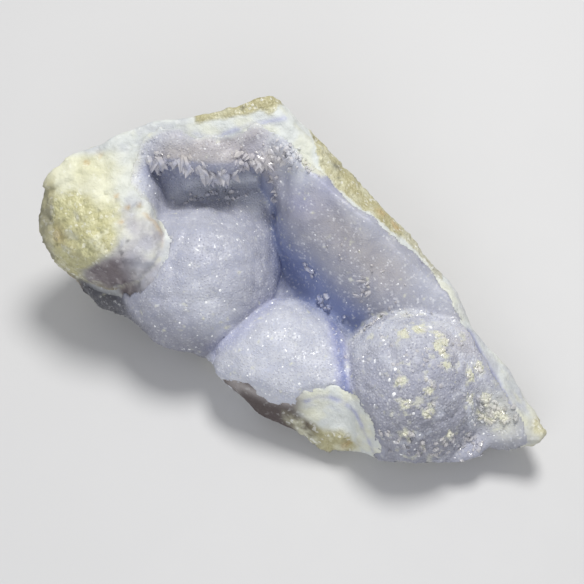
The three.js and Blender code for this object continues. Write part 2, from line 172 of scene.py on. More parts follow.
FRONT_EDGE = [
    (-14.8, -13.8, 10.7), (-12.2, -17.2, 11.7), (-8.2, -19.5, 11.1), (-4.3, -21.2, 10.9), (-0.4, -22.4, 11.6),
    (2.5, -21.5, 13.6),
]
LOBE_EDGE = [
    (11.6, -9, 14.5), (12.8, -7.2, 15.2), (15, -5.8, 16.8), (18.6, -6, 18.6), (23.2, -6.6, 19.4),
    (27.1, -8, 19),
]
WALL_SHEEN = [(4, 13, 28), (9, 8, 25.5), (14, 4.5, 23.5), (19, 1, 21.5)]
BLOCK_EDGE = [
    (-32.3, 11.7, 28.8), (-30, 12.5, 28.4), (-27.6, 9.8, 26.4), (-25.2, 7, 25), (-24.9, 4.5, 25),
    (-25.9, 2, 23.9), (-28, 0.3, 22),
]
BAND_EDGE = [(-40, 3.2, 15.1), (-34.6, 1.9, 14.9), (-30.4, -0.2, 20.4), (-25.7, 2.7, 24.2)]
CRACK = [(-39.5, 12.3, 28.8), (-35.5, 9.2, 27.8), (-32.5, 10.8, 28), (-29.6, 12.2, 28.1)]

# Spots on the lining that have a colour of their own, and one corner of painted shade
CREAM_SPOTS = [
    (21.7, -12.6, 21.2), (24.2, -11.7, 21), (28.2, -12.6, 20.8), (29.3, -14.2, 20.5), (27.6, -15.4, 21),
    (28.7, -16.9, 20.9), (28.9, -19.2, 20.3), (33.7, -19.8, 17.3), (36, -17.6, 16.5), (33.7, -23.6, 15.4),
    (26.2, -23.8, 20), (36.6, -25.6, 12), (25.6, -28, 17.5), (22.1, -30.5, 14.8), (30.1, -30.2, 13),
    (20.6, -22.4, 20.4), (37.3, -22.7, 13.1), (40.3, -24.9, 10.9), (38.5, -26.5, 11), (21.5, -26.5, 18.5),
]
LOBE_LIGHT = [(-17.5, -4.5, 20), (-14.5, -7.5, 17)]
LOBE_FOOT = [(33.5, -29.6, 7.4), (36.4, -28.8, 8), (31.6, -30.5, 7)]
WALL_VIOLET = [(6, 16, 30), (2, 14, 28)]
LIP_VIOLET = [(-8, 23.5, 31)]
RIM_END = [(-2, 24, 34), (0.5, 21.5, 32.5), (2, 18.5, 31)]
RIM_END_CREAM = [(3.2, 20.5, 31.8), (4.8, 18.8, 30.8)]
# A corner where the creases meet, darkened as painted shade
SHADED_CORNER = [(11, -5.2, 12.2), (12.2, -5.6, 13)]
TAIL_WARM = [(33, -13, 17)]
TAIL_CREAM = [(39.5, -24, 11), (41, -26, 10)]

# Spots on the broken stone that have a colour of their own
TIP = [(48.4, -26.5, 9), (48.8, -28, 7), (48.8, -29, 5)]
TIP_SIDE = [(47.5, -27.5, 9)]
RIND_RUST = [(-26, 28, 35), (17.5, 12.5, 25)]
RIND_SPECKS = [(9.7, 22.6, 26.4), (8.8, 21.5, 29)]
BLOCK_CHIPS = [(-30.8, 8, 27), (-28.5, 5.5, 26), (-31, 3.6, 26), (-27, 6.5, 25.6)]
BLOCK_YELLOW = [(-41, 20, 31), (-37, 19, 31), (-35, 12, 28)]
BLOCK_RUST = [(-38.2, 23.1, 32), (-35.1, 24.1, 33.6), (-41, 21, 31)]
BLOCK_RUST_DOTS = [(-34.7, 13.9, 29.5), (-32.3, 11.7, 28.8), (-30, 12.6, 28.4), (-33.5, 8.8, 27.7)]
BLOCK_SPECKS = [(-34.3, 13.2, 29.2), (-32, 5, 26.8)]
CRYSTAL_RUST = [(-46.5, 9, 23)]

# Height of the dark band's upper edge at each place along the block, and the crystals' zone seen from above
BAND_TOP = [
    (-42, 19), (-40.8, 19.7), (-37.6, 23.8), (-35, 25.1), (-33.2, 25.7), (-29.5, 26.1), (-26.3, 25.4),
    (-24, 24.5),
]
YELLOW_ZONE = [
    (-47.2, 17), (-43, 15.4), (-38.4, 12.1), (-35.7, 8.9), (-33.6, 5.5), (-35.3, 2.9), (-38, 1.8), (-42, -3),
    (-52, 1), (-50, 16),
]


# Numbers that repeat: the same place and seed always give the same value

def chance(i, j, k, seed):
    """A number from 0 to 1 for each whole-number place."""
    n = (i * 374761393 + j * 668265263 + k * 1103515245 + seed * 97471177) & 0xFFFFFFFF
    n = ((n ^ (n >> 13)) * 1274126177) & 0xFFFFFFFF
    n = ((n ^ (n >> 15)) * 1103515245) & 0xFFFFFFFF
    return (n ^ (n >> 16)) / 4294967296.0


def waver(p, pitch, seed):
    """Smooth noise from -1 to 1 whose bumps are about pitch apart."""
    q = p / pitch + 57.3
    cell = np.floor(q).astype(np.int64)
    t = q - cell
    t = t * t * (3 - 2 * t)
    total = 0
    for a in (0, 1):
        for b in (0, 1):
            for c in (0, 1):
                share = (t[..., 0] if a else 1 - t[..., 0]) * (t[..., 1] if b else 1 - t[..., 1])
                share = share * (t[..., 2] if c else 1 - t[..., 2])
                total = total + share * chance(cell[..., 0] + a, cell[..., 1] + b, cell[..., 2] + c, seed)
    return total * 2 - 1


def rough(p, pitch, seed, octaves=3):
    """Noise with finer noise on it."""
    return sum(waver(p, pitch / 2 ** i, seed + i) / 2 ** i for i in range(octaves))


def cells(p, pitch, seed):
    """The nearest of a scatter of centres: squared distance, offset from it, and its random numbers."""
    q = p / pitch + 31.7
    cell = np.floor(q).astype(np.int64)
    nearest = np.full(p.shape[:-1], 1e9)
    offset = np.zeros(p.shape)
    own = np.zeros(p.shape)
    for a in (-1, 0, 1):
        for b in (-1, 0, 1):
            for c in (-1, 0, 1):
                i, j, k = cell[..., 0] + a, cell[..., 1] + b, cell[..., 2] + c
                spot = np.stack([i, j, k], -1) + np.stack([chance(i, j, k, seed + n) for n in (0, 1, 2)], -1)
                d = ((q - spot) ** 2).sum(-1)
                closer = d < nearest
                nearest = np.where(closer, d, nearest)
                offset = np.where(closer[..., None], q - spot, offset)
                numbers = np.stack([chance(i, j, k, seed + n) for n in (3, 4, 5)], -1)
                own = np.where(closer[..., None], numbers, own)
    return nearest, offset, own


def broken_faces(p, pitch, seed):
    """Height of a surface of broken crystal faces, each a small tilted plane, in units of pitch."""
    _, offset, own = cells(p, pitch, seed)
    return (offset * (own * 2 - 1)).sum(-1) * 0.8 + (own[..., 0] - 0.5) * 0.35


def domes(p, pitch, seed):
    """Height of rounded lumps that meet in creases, in units of pitch."""
    nearest, _, _ = cells(p, pitch, seed)
    return 0.25 - 0.5 * np.minimum(nearest, 1)


def rising(value, low, high):
    """0 below low, 1 above high, smooth between."""
    t = np.clip((value - low) / (high - low), 0, 1)
    return t * t * (3 - 2 * t)


# The stone's form, as distances that are negative inside

def unit(a):
    a = np.asarray(a, float)
    return a / np.linalg.norm(a)


def join(a, b, k):
    """The lower of two distances, with the corner between them rounded."""
    h = np.clip(0.5 + 0.5 * (b - a) / k, 0, 1)
    return b + (a - b) * h - k * h * (1 - h)


def meet(a, b, k):
    """The higher of two distances, with the corner between them rounded."""
    return -join(-a, -b, k)


def ellipsoid(p, centre, radii):
    q = p - np.array(centre, float)
    radii = np.array(radii, float)
    k0 = np.linalg.norm(q / radii, axis=-1)
    k1 = np.linalg.norm(q / radii ** 2, axis=-1)
    return k0 * (k0 - 1) / np.maximum(k1, 1e-6)


def capsule(p, a, b, radius_a, radius_b):
    a, b = np.array(a, float), np.array(b, float)
    ab = b - a
    t = np.clip(((p - a) @ ab) / (ab @ ab), 0, 1)
    return np.linalg.norm(p - a - t[..., None] * ab, axis=-1) - (radius_a + (radius_b - radius_a) * t)


def facets(p, faces, k):
    """Flat breaks that meet in rounded edges."""
    d = None
    for point, normal in faces:
        f = (p - np.array(point, float)) @ unit(normal)
        d = f if d is None else meet(d, f, k)
    return d


def edge_distance(x, y, polygon):
    """Distance from the edge of a polygon, negative inside it."""
    d = np.full(x.shape, 1e9)
    inside = np.zeros(x.shape, bool)
    for (ax, ay), (bx, by) in zip(polygon, polygon[1:] + polygon[:1]):
        ex, ey = bx - ax, by - ay
        wx, wy = x - ax, y - ay
        t = np.clip((wx * ex + wy * ey) / (ex * ex + ey * ey), 0, 1)
        d = np.minimum(d, (wx - ex * t) ** 2 + (wy - ey * t) ** 2)
        if ay != by:
            inside ^= ((ay > y) != (by > y)) & (x < ex * wy / ey + ax)
    d = np.sqrt(d)
    return np.where(inside, -d, d)


def line_distance(p, line):
    """Distance from a line of several points."""
    return np.minimum.reduce([capsule(p, a, b, 0, 0) for a, b in zip(line[:-1], line[1:])])


def outside(p):
    """The broken outside: upright sides over a rounded underside, undercut at the left."""
    x, y, z = p[..., 0], p[..., 1], p[..., 2]
    start = 5.5 + 0.4 * np.maximum(-12 - x, 0)
    side = edge_distance(x, y, OUTLINE) - EDGE_ROUND + 0.3 * np.maximum(start - z, 0)
    bowl = ellipsoid(np.stack([p @ ALONG, p @ ACROSS, z], -1), (0, 2, 28), (80, 40, 32))
    d = meet(side, bowl, 4.0)
    d = meet(d, -capsule(p, (-52, -2, -1), (-14, -19, 0), 11.5, 9.0), 2.0)
    return d + sum(a * np.sin(p @ np.array(k) + f) for k, f, a in WAVES) + 0.3


def wall(p):
    """The wall at the right, a roof along the crest with a bulge towards the hollow."""
    x, y, z = p[..., 0], p[..., 1], p[..., 2]
    top = None
    for (ax, ay, az, ai), (bx, by, bz, bi) in zip(CREST[:-1], CREST[1:]):
        ex, ey = bx - ax, by - ay
        length = np.hypot(ex, ey)
        t = ((x - ax) * ex + (y - ay) * ey) / length
        s = ((x - ax) * ey - (y - ay) * ex) / length
        share = np.clip(t, 0, length) / length
        far = np.hypot(s, t - share * length)
        drop = np.where(s > 0, (ai + (bi - ai) * share) * far * far / (far + 3.0), 0.8 * far)
        h = az + (bz - az) * share - drop
        top = h if top is None else meet(top, h, 3.0)
    d = join((z - top) * 0.6, capsule(p, (8, 15.5, 16), (27, -3, 9), 10.5, 9), 3.0)
    return join(d, ellipsoid(p, (3.5, 17, 15), (6.8, 9.5, 14)), 3.0)


def rim(p):
    """The rim along the far side with its shoulder towards the block, and the recess under it."""
    d = join(facets(p, RIM, 1.5), facets(p, SHOULDER, 1.0), 3.0)
    d = meet(d, -facets(p, RECESS, 3.0), 0.8)
    return join(d, ellipsoid(p, (-15, 22.2, 30), (4.5, 2.6, 3)), 3.0)


def block(p):
    return facets(p, BLOCK, 1.6)


def left_lobe(p):
    return ellipsoid(p, (-19.5, 6, 10), (16.3, 16, 15.7))


def middle_lobe(p):
    d = join(ellipsoid(p, (-2.5, -10.5, 4), (15, 14, 13)), ellipsoid(p, (6.5, -17, 4), (12, 12, 12)), 4.0)
    return meet(d, facets(p, LOBE_BREAK, 0.8), 0.6)


def right_lobe(p):
    tail = capsule(p, (31, -13, 8), (45, -26, 2.5), 9.5, 5.5)
    return join(ellipsoid(p, (23, -17.3, 6.5), (14.5, 16, 15.5)), tail, 5.0)


def hollow(p):
    """Everything that faces the hollow, without the block."""
    s = (p[..., 2] - 9.5 - 0.3 * np.minimum(p @ ACROSS, 0)) * 0.9
    s = join(s, join(left_lobe(p), ellipsoid(p, (-12, 16.5, 9.5), (12, 9.5, 9.5)), 5.0), 1.5)
    s = join(s, capsule(p, (-23, 21.5, 14.8), (-7, 21.5, 14.3), 5, 5), 4.0)
    s = join(s, ellipsoid(p, (-35, 8, 5), (13, 12, 10)), 1.5)
    s = join(s, middle_lobe(p), 0.8)
    s = join(s, wall(p), 1.5)
    s = join(s, right_lobe(p), 1.2)
    return join(s, rim(p), 3.0)


def stone(p):
    s = join(hollow(p), block(p), 0.8)
    return meet(s, outside(p), 1.2)


def lining_edge(p):
    """How far a place is from the edge of the crystal lining, negative inside it."""
    x, y = p[..., 0], p[..., 1]
    wander = (0.7 * waver(p, 3.1, 11) + 0.35 * waver(p, 1.3, 12)) * (0.3 + 0.7 * rising(x, -24, -20))
    in_recess = np.maximum(facets(p, RECESS, 3.0) - 1.2, 15 - y)
    return np.maximum(np.minimum(edge_distance(x, y, LINING_EDGE) + wander, in_recess), 0.6 - block(p))


def stone_under_lining(p):
    """The stone, a little lower where the lining covers it."""
    sunk = 0.8 * rising(-lining_edge(p), 0.2, 1.4) * rising(p[..., 2], LINING_FLOOR + 0.6, LINING_FLOOR + 1.8)
    return meet(stone(p) + sunk, -p[..., 2], 0.3)


# Meshes from the form

def gradient(form, p, step=0.12):
    here = form(p)
    g = np.stack([form(p + np.eye(3)[i] * step) - here for i in range(3)], -1) / step
    return here, g


def outward(p):
    """The direction away from the stone at each point."""
    _, g = gradient(stone, p)
    return g / np.maximum(np.linalg.norm(g, axis=-1, keepdims=True), 1e-6)


def values_on_grid(form, low, counts, cell):
    """The form's value at each grid point near its surface, and its sign elsewhere."""
    step = 4
    blocks = -(-counts // step)
    place = np.stack(np.meshgrid(*[np.arange(n) for n in blocks], indexing="ij"), -1)
    centre = low + (place * step + (step - 1) / 2) * cell
    coarse = form(centre.reshape(-1, 3)).reshape(blocks)
    values = np.repeat(np.repeat(np.repeat(np.sign(coarse) * 9.0, step, 0), step, 1), step, 2)
    near = place[np.abs(coarse) < step * cell * 1.15 + 0.9]
    inner = np.stack(np.meshgrid(*[np.arange(step)] * 3, indexing="ij"), -1).reshape(-1, 3)
    for start in range(0, len(near), 6000):
        index = (near[start:start + 6000, None] * step + inner).reshape(-1, 3)
        values[index[:, 0], index[:, 1], index[:, 2]] = form(low + index * cell)
    return values[:counts[0], :counts[1], :counts[2]]


def part(array, axis, start, end):
    return array[tuple(slice(start, end) if i == axis else slice(None) for i in range(3))]


SQUARE = ((0, 0), (0, 1), (1, 1), (1, 0))


def settle_squares(values):
    """Where a square's signs lie like a checkerboard, turns its weakest corner, so the skin stays whole."""
    for _ in range(12):
        found = 0
        for a, b in ((0, 1), (1, 2), (0, 2)):
            corners = [part(part(values, a, i, i - 1 or None), b, j, j - 1 or None) for i, j in SQUARE]
            signs = [c < 0 for c in corners]
            bad = (signs[0] == signs[2]) & (signs[1] == signs[3]) & (signs[0] != signs[1])
            if not bad.any():
                continue
            found += int(bad.sum())
            at = np.argwhere(bad)
            size = np.stack([np.abs(c[bad]) for c in corners], -1)
            pick = size.argmin(-1)
            shift = np.array(SQUARE)[pick]
            at[:, a] += shift[:, 0]
            at[:, b] += shift[:, 1]
            at = np.unique(at, axis=0)
            v = values[at[:, 0], at[:, 1], at[:, 2]]
            values[at[:, 0], at[:, 1], at[:, 2]] = np.where(v < 0, 1e-3, -1e-3)
        if not found:
            return


CORNERS = np.array([(i, j, k) for i in (0, 1) for j in (0, 1) for k in (0, 1)])
CELL_EDGES = [(a, b) for a in range(8) for b in range(a + 1, 8) if np.abs(CORNERS[a] - CORNERS[b]).sum() == 1]


def skin(form, cell, low, high):
    """Square faces over the surface of a form, in millimetres: its points and its faces."""
    low = np.array(low, float)
    counts = np.ceil((np.array(high, float) - low) / cell).astype(int) + 1
    values = values_on_grid(form, low, counts, cell)
    settle_squares(values)
    solid = values < 0
    count = np.zeros(counts - 1, int)
    for i, j, k in CORNERS:
        count += solid[i:counts[0] - 1 + i, j:counts[1] - 1 + j, k:counts[2] - 1 + k]
    crossed = (count > 0) & (count < 8)
    at = np.argwhere(crossed)
    number = np.full(counts - 1, -1)
    number[crossed] = np.arange(len(at))
    corner = np.stack([values[at[:, 0] + i, at[:, 1] + j, at[:, 2] + k] for i, j, k in CORNERS], -1)
    total = np.zeros((len(at), 3))
    hits = np.zeros(len(at))
    for a, b in CELL_EDGES:
        va, vb = corner[:, a], corner[:, b]
        hit = (va < 0) != (vb < 0)
        t = np.where(hit, va / np.where(hit, va - vb, 1), 0)
        total += np.where(hit[:, None], CORNERS[a] + (CORNERS[b] - CORNERS[a]) * t[:, None], 0)
        hits += hit
    middle = low + (at + 0.5) * cell
    points = low + (at + total / hits[:, None]) * cell
    for _ in range(3):
        f, g = gradient(form, points)
        points = points - g * (f / np.maximum((g * g).sum(-1), 0.05))[:, None]
        points = middle + np.clip(points - middle, -0.6 * cell, 0.6 * cell)
    faces = []
    for axis in range(3):
        u, v = (axis + 1) % 3, (axis + 2) % 3
        first, second = part(solid, axis, 0, -1), part(solid, axis, 1, None)
        edge = np.argwhere(first != second)
        across = edge[:, [u, v]]
        edge = edge[((across > 0) & (across < counts[[u, v]] - 1)).all(1)]
        du, dv = np.eye(3, dtype=int)[u], np.eye(3, dtype=int)[v]
        ring = [edge - du - dv, edge - dv, edge, edge - du]
        quad = np.stack([number[r[:, 0], r[:, 1], r[:, 2]] for r in ring], -1)
        from_inside = first[edge[:, 0], edge[:, 1], edge[:, 2]]
        faces.append(np.where(from_inside[:, None], quad, quad[:, ::-1]))
    return points, np.concatenate(faces)


def largest_part(faces, count):
    """The faces of the largest connected piece."""
    label = np.arange(count)
    while True:
        low = label[faces].min(1)
        new = label.copy()
        np.minimum.at(new, faces.ravel(), np.repeat(low, faces.shape[1]))
        new = new[new]
        if (new == label).all():
            break
        label = new
    group = label[faces[:, 0]]
    return faces[group == np.bincount(group).argmax()]


def packed(points, faces, *extras):
    """Only the points that faces use."""
    used = np.unique(faces)
    number = np.full(len(points), -1)
    number[used] = np.arange(len(used))
    return (points[used], number[faces], *[e[used] for e in extras])


def open_edges(faces):
    """Edges with a face on one side only, in the direction of that face."""
    start = faces.ravel()
    end = np.roll(faces, -1, axis=1).ravel()
    key = np.minimum(start, end) * (faces.max() + 1) + np.maximum(start, end)
    _, first, times = np.unique(key, return_index=True, return_counts=True)
    single = first[times == 1]
    return np.stack([start[single], end[single]], -1)


def trimmed(points, faces):
    """Drops faces that touch the rest at a corner only, so the open edge is one clean loop."""
    while True:
        faces = largest_part(faces, len(points))
        edges = open_edges(faces)
        crowded = np.bincount(edges[:, 0], minlength=len(points)) > 1
        if not crowded.any():
            return faces
        faces = faces[~crowded[faces].any(1)]


def mesh_object(name, points, faces, **values):
    """A mesh piece, with its numbers and colours for the material kept on its points."""
    data = bpy.data.meshes.new(name)
    data.vertices.add(len(points))
    data.vertices.foreach_set("co", (np.asarray(points) * MM).astype(np.float32).ravel())
    size = faces.shape[1] if len(faces) else 4
    data.loops.add(faces.size)
    data.loops.foreach_set("vertex_index", faces.astype(np.int32).ravel())
    data.polygons.add(len(faces))
    data.polygons.foreach_set("loop_start", np.arange(0, faces.size, size, dtype=np.int32))
    data.update(calc_edges=True)
    for key, value in values.items():
        keep(data, key, value)
    made = bpy.data.objects.new(name, data)
    bpy.context.scene.collection.objects.link(made)
    return made


def keep(data, key, value):
    """Stores a number, a colour or a direction for each point of a mesh."""
    value = np.asarray(value, np.float32)
    if value.ndim == 1:
        data.attributes.new(key, "FLOAT", "POINT").data.foreach_set("value", value)
    elif key == "aim":
        data.attributes.new(key, "FLOAT_VECTOR", "POINT").data.foreach_set("vector", value.ravel())
    else:
        rgba = np.concatenate([value, np.ones((len(value), 1), np.float32)], 1)
        data.attributes.new(key, "FLOAT_COLOR", "POINT").data.foreach_set("color", rgba.ravel())


def place_of(piece):
    """The points of a piece in millimetres."""
    co = np.zeros(len(piece.data.vertices) * 3, np.float32)
    piece.data.vertices.foreach_get("co", co)
    return co.reshape(-1, 3).astype(float) / MM


def set_place(piece, points):
    piece.data.vertices.foreach_set("co", (points * MM).astype(np.float32).ravel())
    piece.data.update()


def in_box(points):
    return np.clip(points, LOW, HIGH)


def smooth(piece, on=True):
    piece.data.polygons.foreach_set("use_smooth", np.full(len(piece.data.polygons), on))


# Colours over the form

def near(p, line, width):
    """1 on a line, falling to 0 over the width."""
    return np.exp(-(line_distance(p, line) / width) ** 2)


def moved(line, dx, dy, dz):
    return [(x + dx, y + dy, z + dz) for x, y, z in line]


def spots(p, places, radius):
    """1 at each of the places, falling to 0 over the radius."""
    falls = [np.exp(-((p - np.array(place, float)) ** 2).sum(-1) / radius ** 2) for place in places]
    return np.max(falls, axis=0)


def layered(p, look, base, layers):
    """A base colour with other colours laid over it, each with its share."""
    tint = np.tile(np.array(getattr(look, base)[:3]), (len(p), 1))
    for name, share in layers:
        tint = over(tint, getattr(look, name)[:3], share)
    return tint


def over(tint, other, share):
    return tint + (np.array(other) - tint) * np.clip(share, 0, 1)[:, None]


def lining_colour(p, look):
    """Colour of the lining: grey lavender on the lobes, deep blue and painted shade in the valleys, warm grey
    at the lip.
    """
    x, y, z = p[:, 0], p[:, 1], p[:, 2]
    on_left = rising(1 - left_lobe(p), 0, 1) * rising(21.5 - y, 0, 3)
    on_middle = rising(1 - middle_lobe(p), 0, 1.5)
    on_right = rising(1.4 - right_lobe(p), 0, 1)
    on_wall = rising(1.5 - wall(p), 0, 1.5) * (1 - on_right) * (1 - on_middle)
    in_recess = rising(1.5 - facets(p, RECESS, 3.0), 0, 1) * rising(y, 17, 20.5)
    patch = rough(p, 2.2, 27)
    from_edge = lining_edge(p)
    crest = moved([place[:3] for place in CREST[1:4]], 0, -1.2, 0)
    creamy = rising(spots(p, CREAM_SPOTS, 1.4) + 0.55 * rough(p, 0.9, 28), 0.4, 0.8)
    creamy_end = rising(spots(p, RIM_END_CREAM, 2.2) + 0.3 * rough(p, 1.6, 30), 0.35, 0.8)
    creamy_edge = rising(from_edge + 1.8 + 0.7 * patch, 0, 2.2) * rising(-x, 26, 28) * rising(y, 10, 13)
    white_edge = rising(from_edge + 1.2 + 0.6 * patch, 0, 1.4) * rising(y, 18, 22) * rising(z, 31, 33)
    lip = rising(y, 19, 21) * rising(z, 28.5, 30) * rising(-x, 0, 4) * rising(x, -29, -24)
    tint = layered(p, look, "lavender", [
        ("pale", 0.85 * on_middle * rising(-x - 1.5 * y, -20, 4)),
        # Left lobe: painted light towards its top and painted shade on its lower front side
        ("pale", 0.2 * on_left * rising(z, 16, 25)),
        ("shade", 0.9 * on_left * rising(0.3 * x - y + 12, 2, 22) * rising(20 - z, 0, 9)),
        ("pale", 0.6 * on_left * spots(p, LOBE_LIGHT, 4)),
        # Painted shade low on the left lobe under the block, and the block's painted shadow at its foot
        ("shade", 0.8 * on_left * rising(-x, 24, 31) * rising(16 - z, 0, 6)),
        ("dark", 0.95 * rising(-x, 27, 37) * rising(15.5 - z, 0, 3) * rising(12 - y, 0, 4)),
        # Right lobe: painted light towards the back and painted shade towards the front
        ("pale", 0.75 * on_right * rising(1.1 * y - 0.15 * x + 26, 0, 13)),
        ("shade", 0.55 * on_right * rising(-y, 20, 30)),
        ("pale", 0.6 * near(p, crest, 3.2) * on_wall),
        ("warm", 0.75 * near(p, WALL_SHEEN, 4.5) * on_wall),
        ("shade", 0.27 * on_wall),
        ("violet", 0.35 * spots(p, WALL_VIOLET, 5) * on_wall),
        ("warm", 0.5 * spots(p, TAIL_WARM, 5)),
        ("pale", 0.75 * rising(x, -34, -31.5) * rising(-x, 27.5, 30) * rising(y, 12, 15)),
        ("warm", 0.85 * lip),
        ("pale", 0.5 * rising(y, 22.5, 25) * rising(-x, 14, 26) * rising(z, 31, 33)),
        ("violet", 0.2 * spots(p, LIP_VIOLET, 4)),
        ("pale", 0.85 * spots(p, RIM_END, 3.5)),
        ("cream", 0.7 * creamy_end),
        ("cream", 0.55 * creamy_edge),
        ("white_blue", 0.7 * white_edge),
        ("violet", 0.45 * near(p, CREASE_LEFT, 2.0)),
        ("lavender", 0.7 * near(p, moved(CREASE_RIGHT, 1.9, 0, 0), 1.5)),
        ("violet", 0.9 * near(p, CREASE_RIGHT, 1.6)),
        # Deep blue in the crease's core: partly the lining's own blue, partly painted shade
        ("deep", 0.6 * near(p, CREASE_RIGHT, 0.7)),
        ("slate", 0.85 * in_recess),
        # Painted light lifting the shadowed bottom of the recess and the floor between the left lobe and the
        # wall
        ("pale", 0.85 * in_recess * rising(23.5 - z, 0, 5)),
        ("pale", 0.7 * rising(y, 14, 18) * rising(21 - z, 0, 2) * rising(-x, 5, 8)),
        ("warm", 0.5 * in_recess * rising(z, 24, 27) * rising(x, -16, -6)),
        # Deep blue in the valleys and low on the wall: partly the lining's own blue, partly painted shade
        ("deep", 0.85 * near(p, VALLEY, 4.5) * rising(20 - z, 0, 4)),
        ("deep", 0.85 * on_wall * rising(24.5 - 0.45 * x - z, 0, 7.5)),
        # Painted shade in the corner where the creases meet
        ("dark", 0.75 * spots(p, SHADED_CORNER, 1.2)),
        ("lavender", 0.5 * on_right * rising(-patch, 0.1, 0.7)),
        ("cream", creamy),
        ("pale", 0.6 * on_right * rising(patch, 0.3, 0.8)),
        ("cream", 0.5 * on_right * rising(rough(p, 1.6, 29), 0.6, 0.9)),
        ("cream", 0.5 * spots(p, TAIL_CREAM, 4)),
        ("lavender", 0.6 * spots(p, LOBE_FOOT, 3)),
        ("cream", 0.5 * on_right * near(p, LOBE_EDGE, 1.6) * rising(patch, -0.6, 0.4)),
    ])
    cloud = 1 + 0.06 * rough(p, 6.0, 21) + 0.03 * waver(p, 1.6, 25)
    return np.clip(tint * cloud[:, None], 0.02, 0.95)


def stone_colour(p, normal, look):
    """Colours of the broken stone, with how gritty and how glassy each place is."""
    x, y, z = p[:, 0], p[:, 1], p[:, 2]
    down = -normal[:, 2]
    steep = rising(0.35 + 0.25 * rough(p, 5, 40) + down, 0, 0.25) * rising(27 - x, 0, 4)
    on_block = rising(-x, 25.2, 26) * rising(z, 13.4, 14.6)
    by_block = rising(0.6 - block(p), 0, 0.4) * rising(z, 14, 16)
    on_block = np.maximum(on_block, by_block) * rising(30 - y - 0.2 * z, 0, 2)
    on_block = on_block * (1 - steep * rising(y, 16, 20))
    warp = 0.5 * waver(p, 4.0, 31) + 0.3 * waver(p, 1.4, 32)
    front = rising(-y, 13, 17) * rising(-x, -24, -18)

    # Bands along the edge of the lining, then the rind outside them
    edge = edge_distance(x, y, LINING_EDGE) + warp
    right = rising(x, 3, 6) * (1 - front)
    far_bands = 5 * rising(x, -4, -1) * rising(-x, -6, -3)
    reach = 2.0 + far_bands + 12 * rising(-x, 19, 22) - 1.4 * right + 14 * rising(x, 29.5, 31.5)
    rind = np.maximum(rising(edge - reach, 0, 0.6), np.maximum(steep, rising(down, 0.25, 0.5))) * (1 - front)
    chunk_top = 8.6 + 2.2 * rising(6 - x, 0, 4) + 1.5 * warp
    olive = front * rising(chunk_top - z, 0, 2) * rising(x, -2.5, 0) * rising(14 - x, 0, 2)
    rind = np.maximum(rind, olive * rising(rough(p, 5, 41), -0.6, 0))
    tip = 0.9 * rising(spots(p, TIP, 2.3) + 0.2 * warp, 0.25, 0.7)
    rind = np.maximum(rind, tip)
    # Where the break under the middle lobe lies; its pink brown is darkened as painted shade
    shaded_pink = front * rising(-x, -3.2, 0.5)
    wavy = p + 0.3 * warp[:, None]
    tint = layered(p, look, "white_blue", [
        ("violet", 0.6 * near(p, RIM_BAND, 0.55) * rising(x, -21, -18)),
        ("violet", 0.3 * near(p + 0.25 * warp[:, None], moved(RIM_BAND, 0, 1.1, 0), 0.3)),
        ("cream", 0.45 * rising(rough(p, 4, 44), 0.1, 0.7)),
        ("lavender", 0.6 * rising(x, 30, 32) * rising(rough(p, 3.5, 49), -0.7, 0.4)),
        ("cream", 0.5 * rising(x, 38, 43) * rising(rough(p, 2.5, 50), -0.2, 0.5)),
        ("olive", 0.4 * spots(p, TIP_SIDE, 3.5)),
        ("violet", 0.9 * near(p, GROOVE, 0.7)),
        # Painted shade in the groove's core
        ("shade", 0.5 * near(p, GROOVE, 0.4)),
        ("violet", 0.75 * near(wavy, CHUNK_BAND, 0.5) * front),
        ("violet", 0.35 * near(wavy, moved(CHUNK_BAND, -0.9, -1.2, -1.2), 0.35) * front),
        ("cream", 0.5 * front * rising(rough(p, 3, 45), 0.1, 0.6)),
        # Pink brown darkened as painted shade on the break
        ("shaded_pink", 0.97 * shaded_pink),
        ("warm", 0.65 * shaded_pink * near(p, FRONT_EDGE, 1.3)),
        ("warm", 0.3 * shaded_pink * rising(rough(p, 3.5, 64), 0.2, 0.8)),
        ("lavender", 0.4 * rising(-x, 19, 22) * rising(rough(p, 3, 48), -0.2, 0.5)),
    ])
    rust = 0.05 * tip + 0.5 * rising(rough(p, 6.0, 46), 0.6, 0.95) + 0.6 * spots(p, RIND_RUST, 1.2)
    greyer = np.maximum(rising(y + 0.9 * x, 22, 30) * rising(25 - z, 0, 6), rising(down, 0.2, 0.6))
    tint = over(tint, layered(p, look, "olive", [
        # The same pink brown with painted shade on the rind of the break
        ("shaded_pink", 0.85 * front * rising(6.5 - x, 0, 4)),
        ("cream", 0.75 * rising(rough(p, 2.6, 43), -0.4, 0.7) * (1 - 0.3 * right)),
        ("orange", rust),
        ("dark", 0.45 * rising(rough(p, 2.4, 47), 0.9, 1.15)),
        ("lavender", 0.35 * greyer),
    ]), rind)
    tone, crystal = block_colour(p, down, warp, look)
    tint = over(tint, tone, on_block)
    grit = 0.12 + 0.5 * rind
    grit = grit + (0.12 + 0.35 * crystal - grit) * on_block
    glass = 0.6 * rind
    glass = glass + (0.9 * crystal - glass) * on_block

    # The block's painted shadow at the foot of the stone
    foot = rising(-x, 16, 20) * rising(14.5 - z, 0, 2) * rising(8 - y, 0, 4) * (1 - on_block)
    tint = over(tint, np.array(look.shade[:3]) * 0.45, foot)
    tint = over(tint, look.dark[:3], 0.75 * (spots(p, RIND_SPECKS, 0.9) + spots(p, BLOCK_SPECKS, 0.35)))
    tint = np.clip(tint * (1 + 0.06 * rough(p, 5.0, 61))[:, None], 0.02, 0.95)
    rind = rind * (1 - on_block)
    return tint, np.clip(grit, 0, 1), np.clip(glass, 0, 1), on_block, crystal * on_block, rind


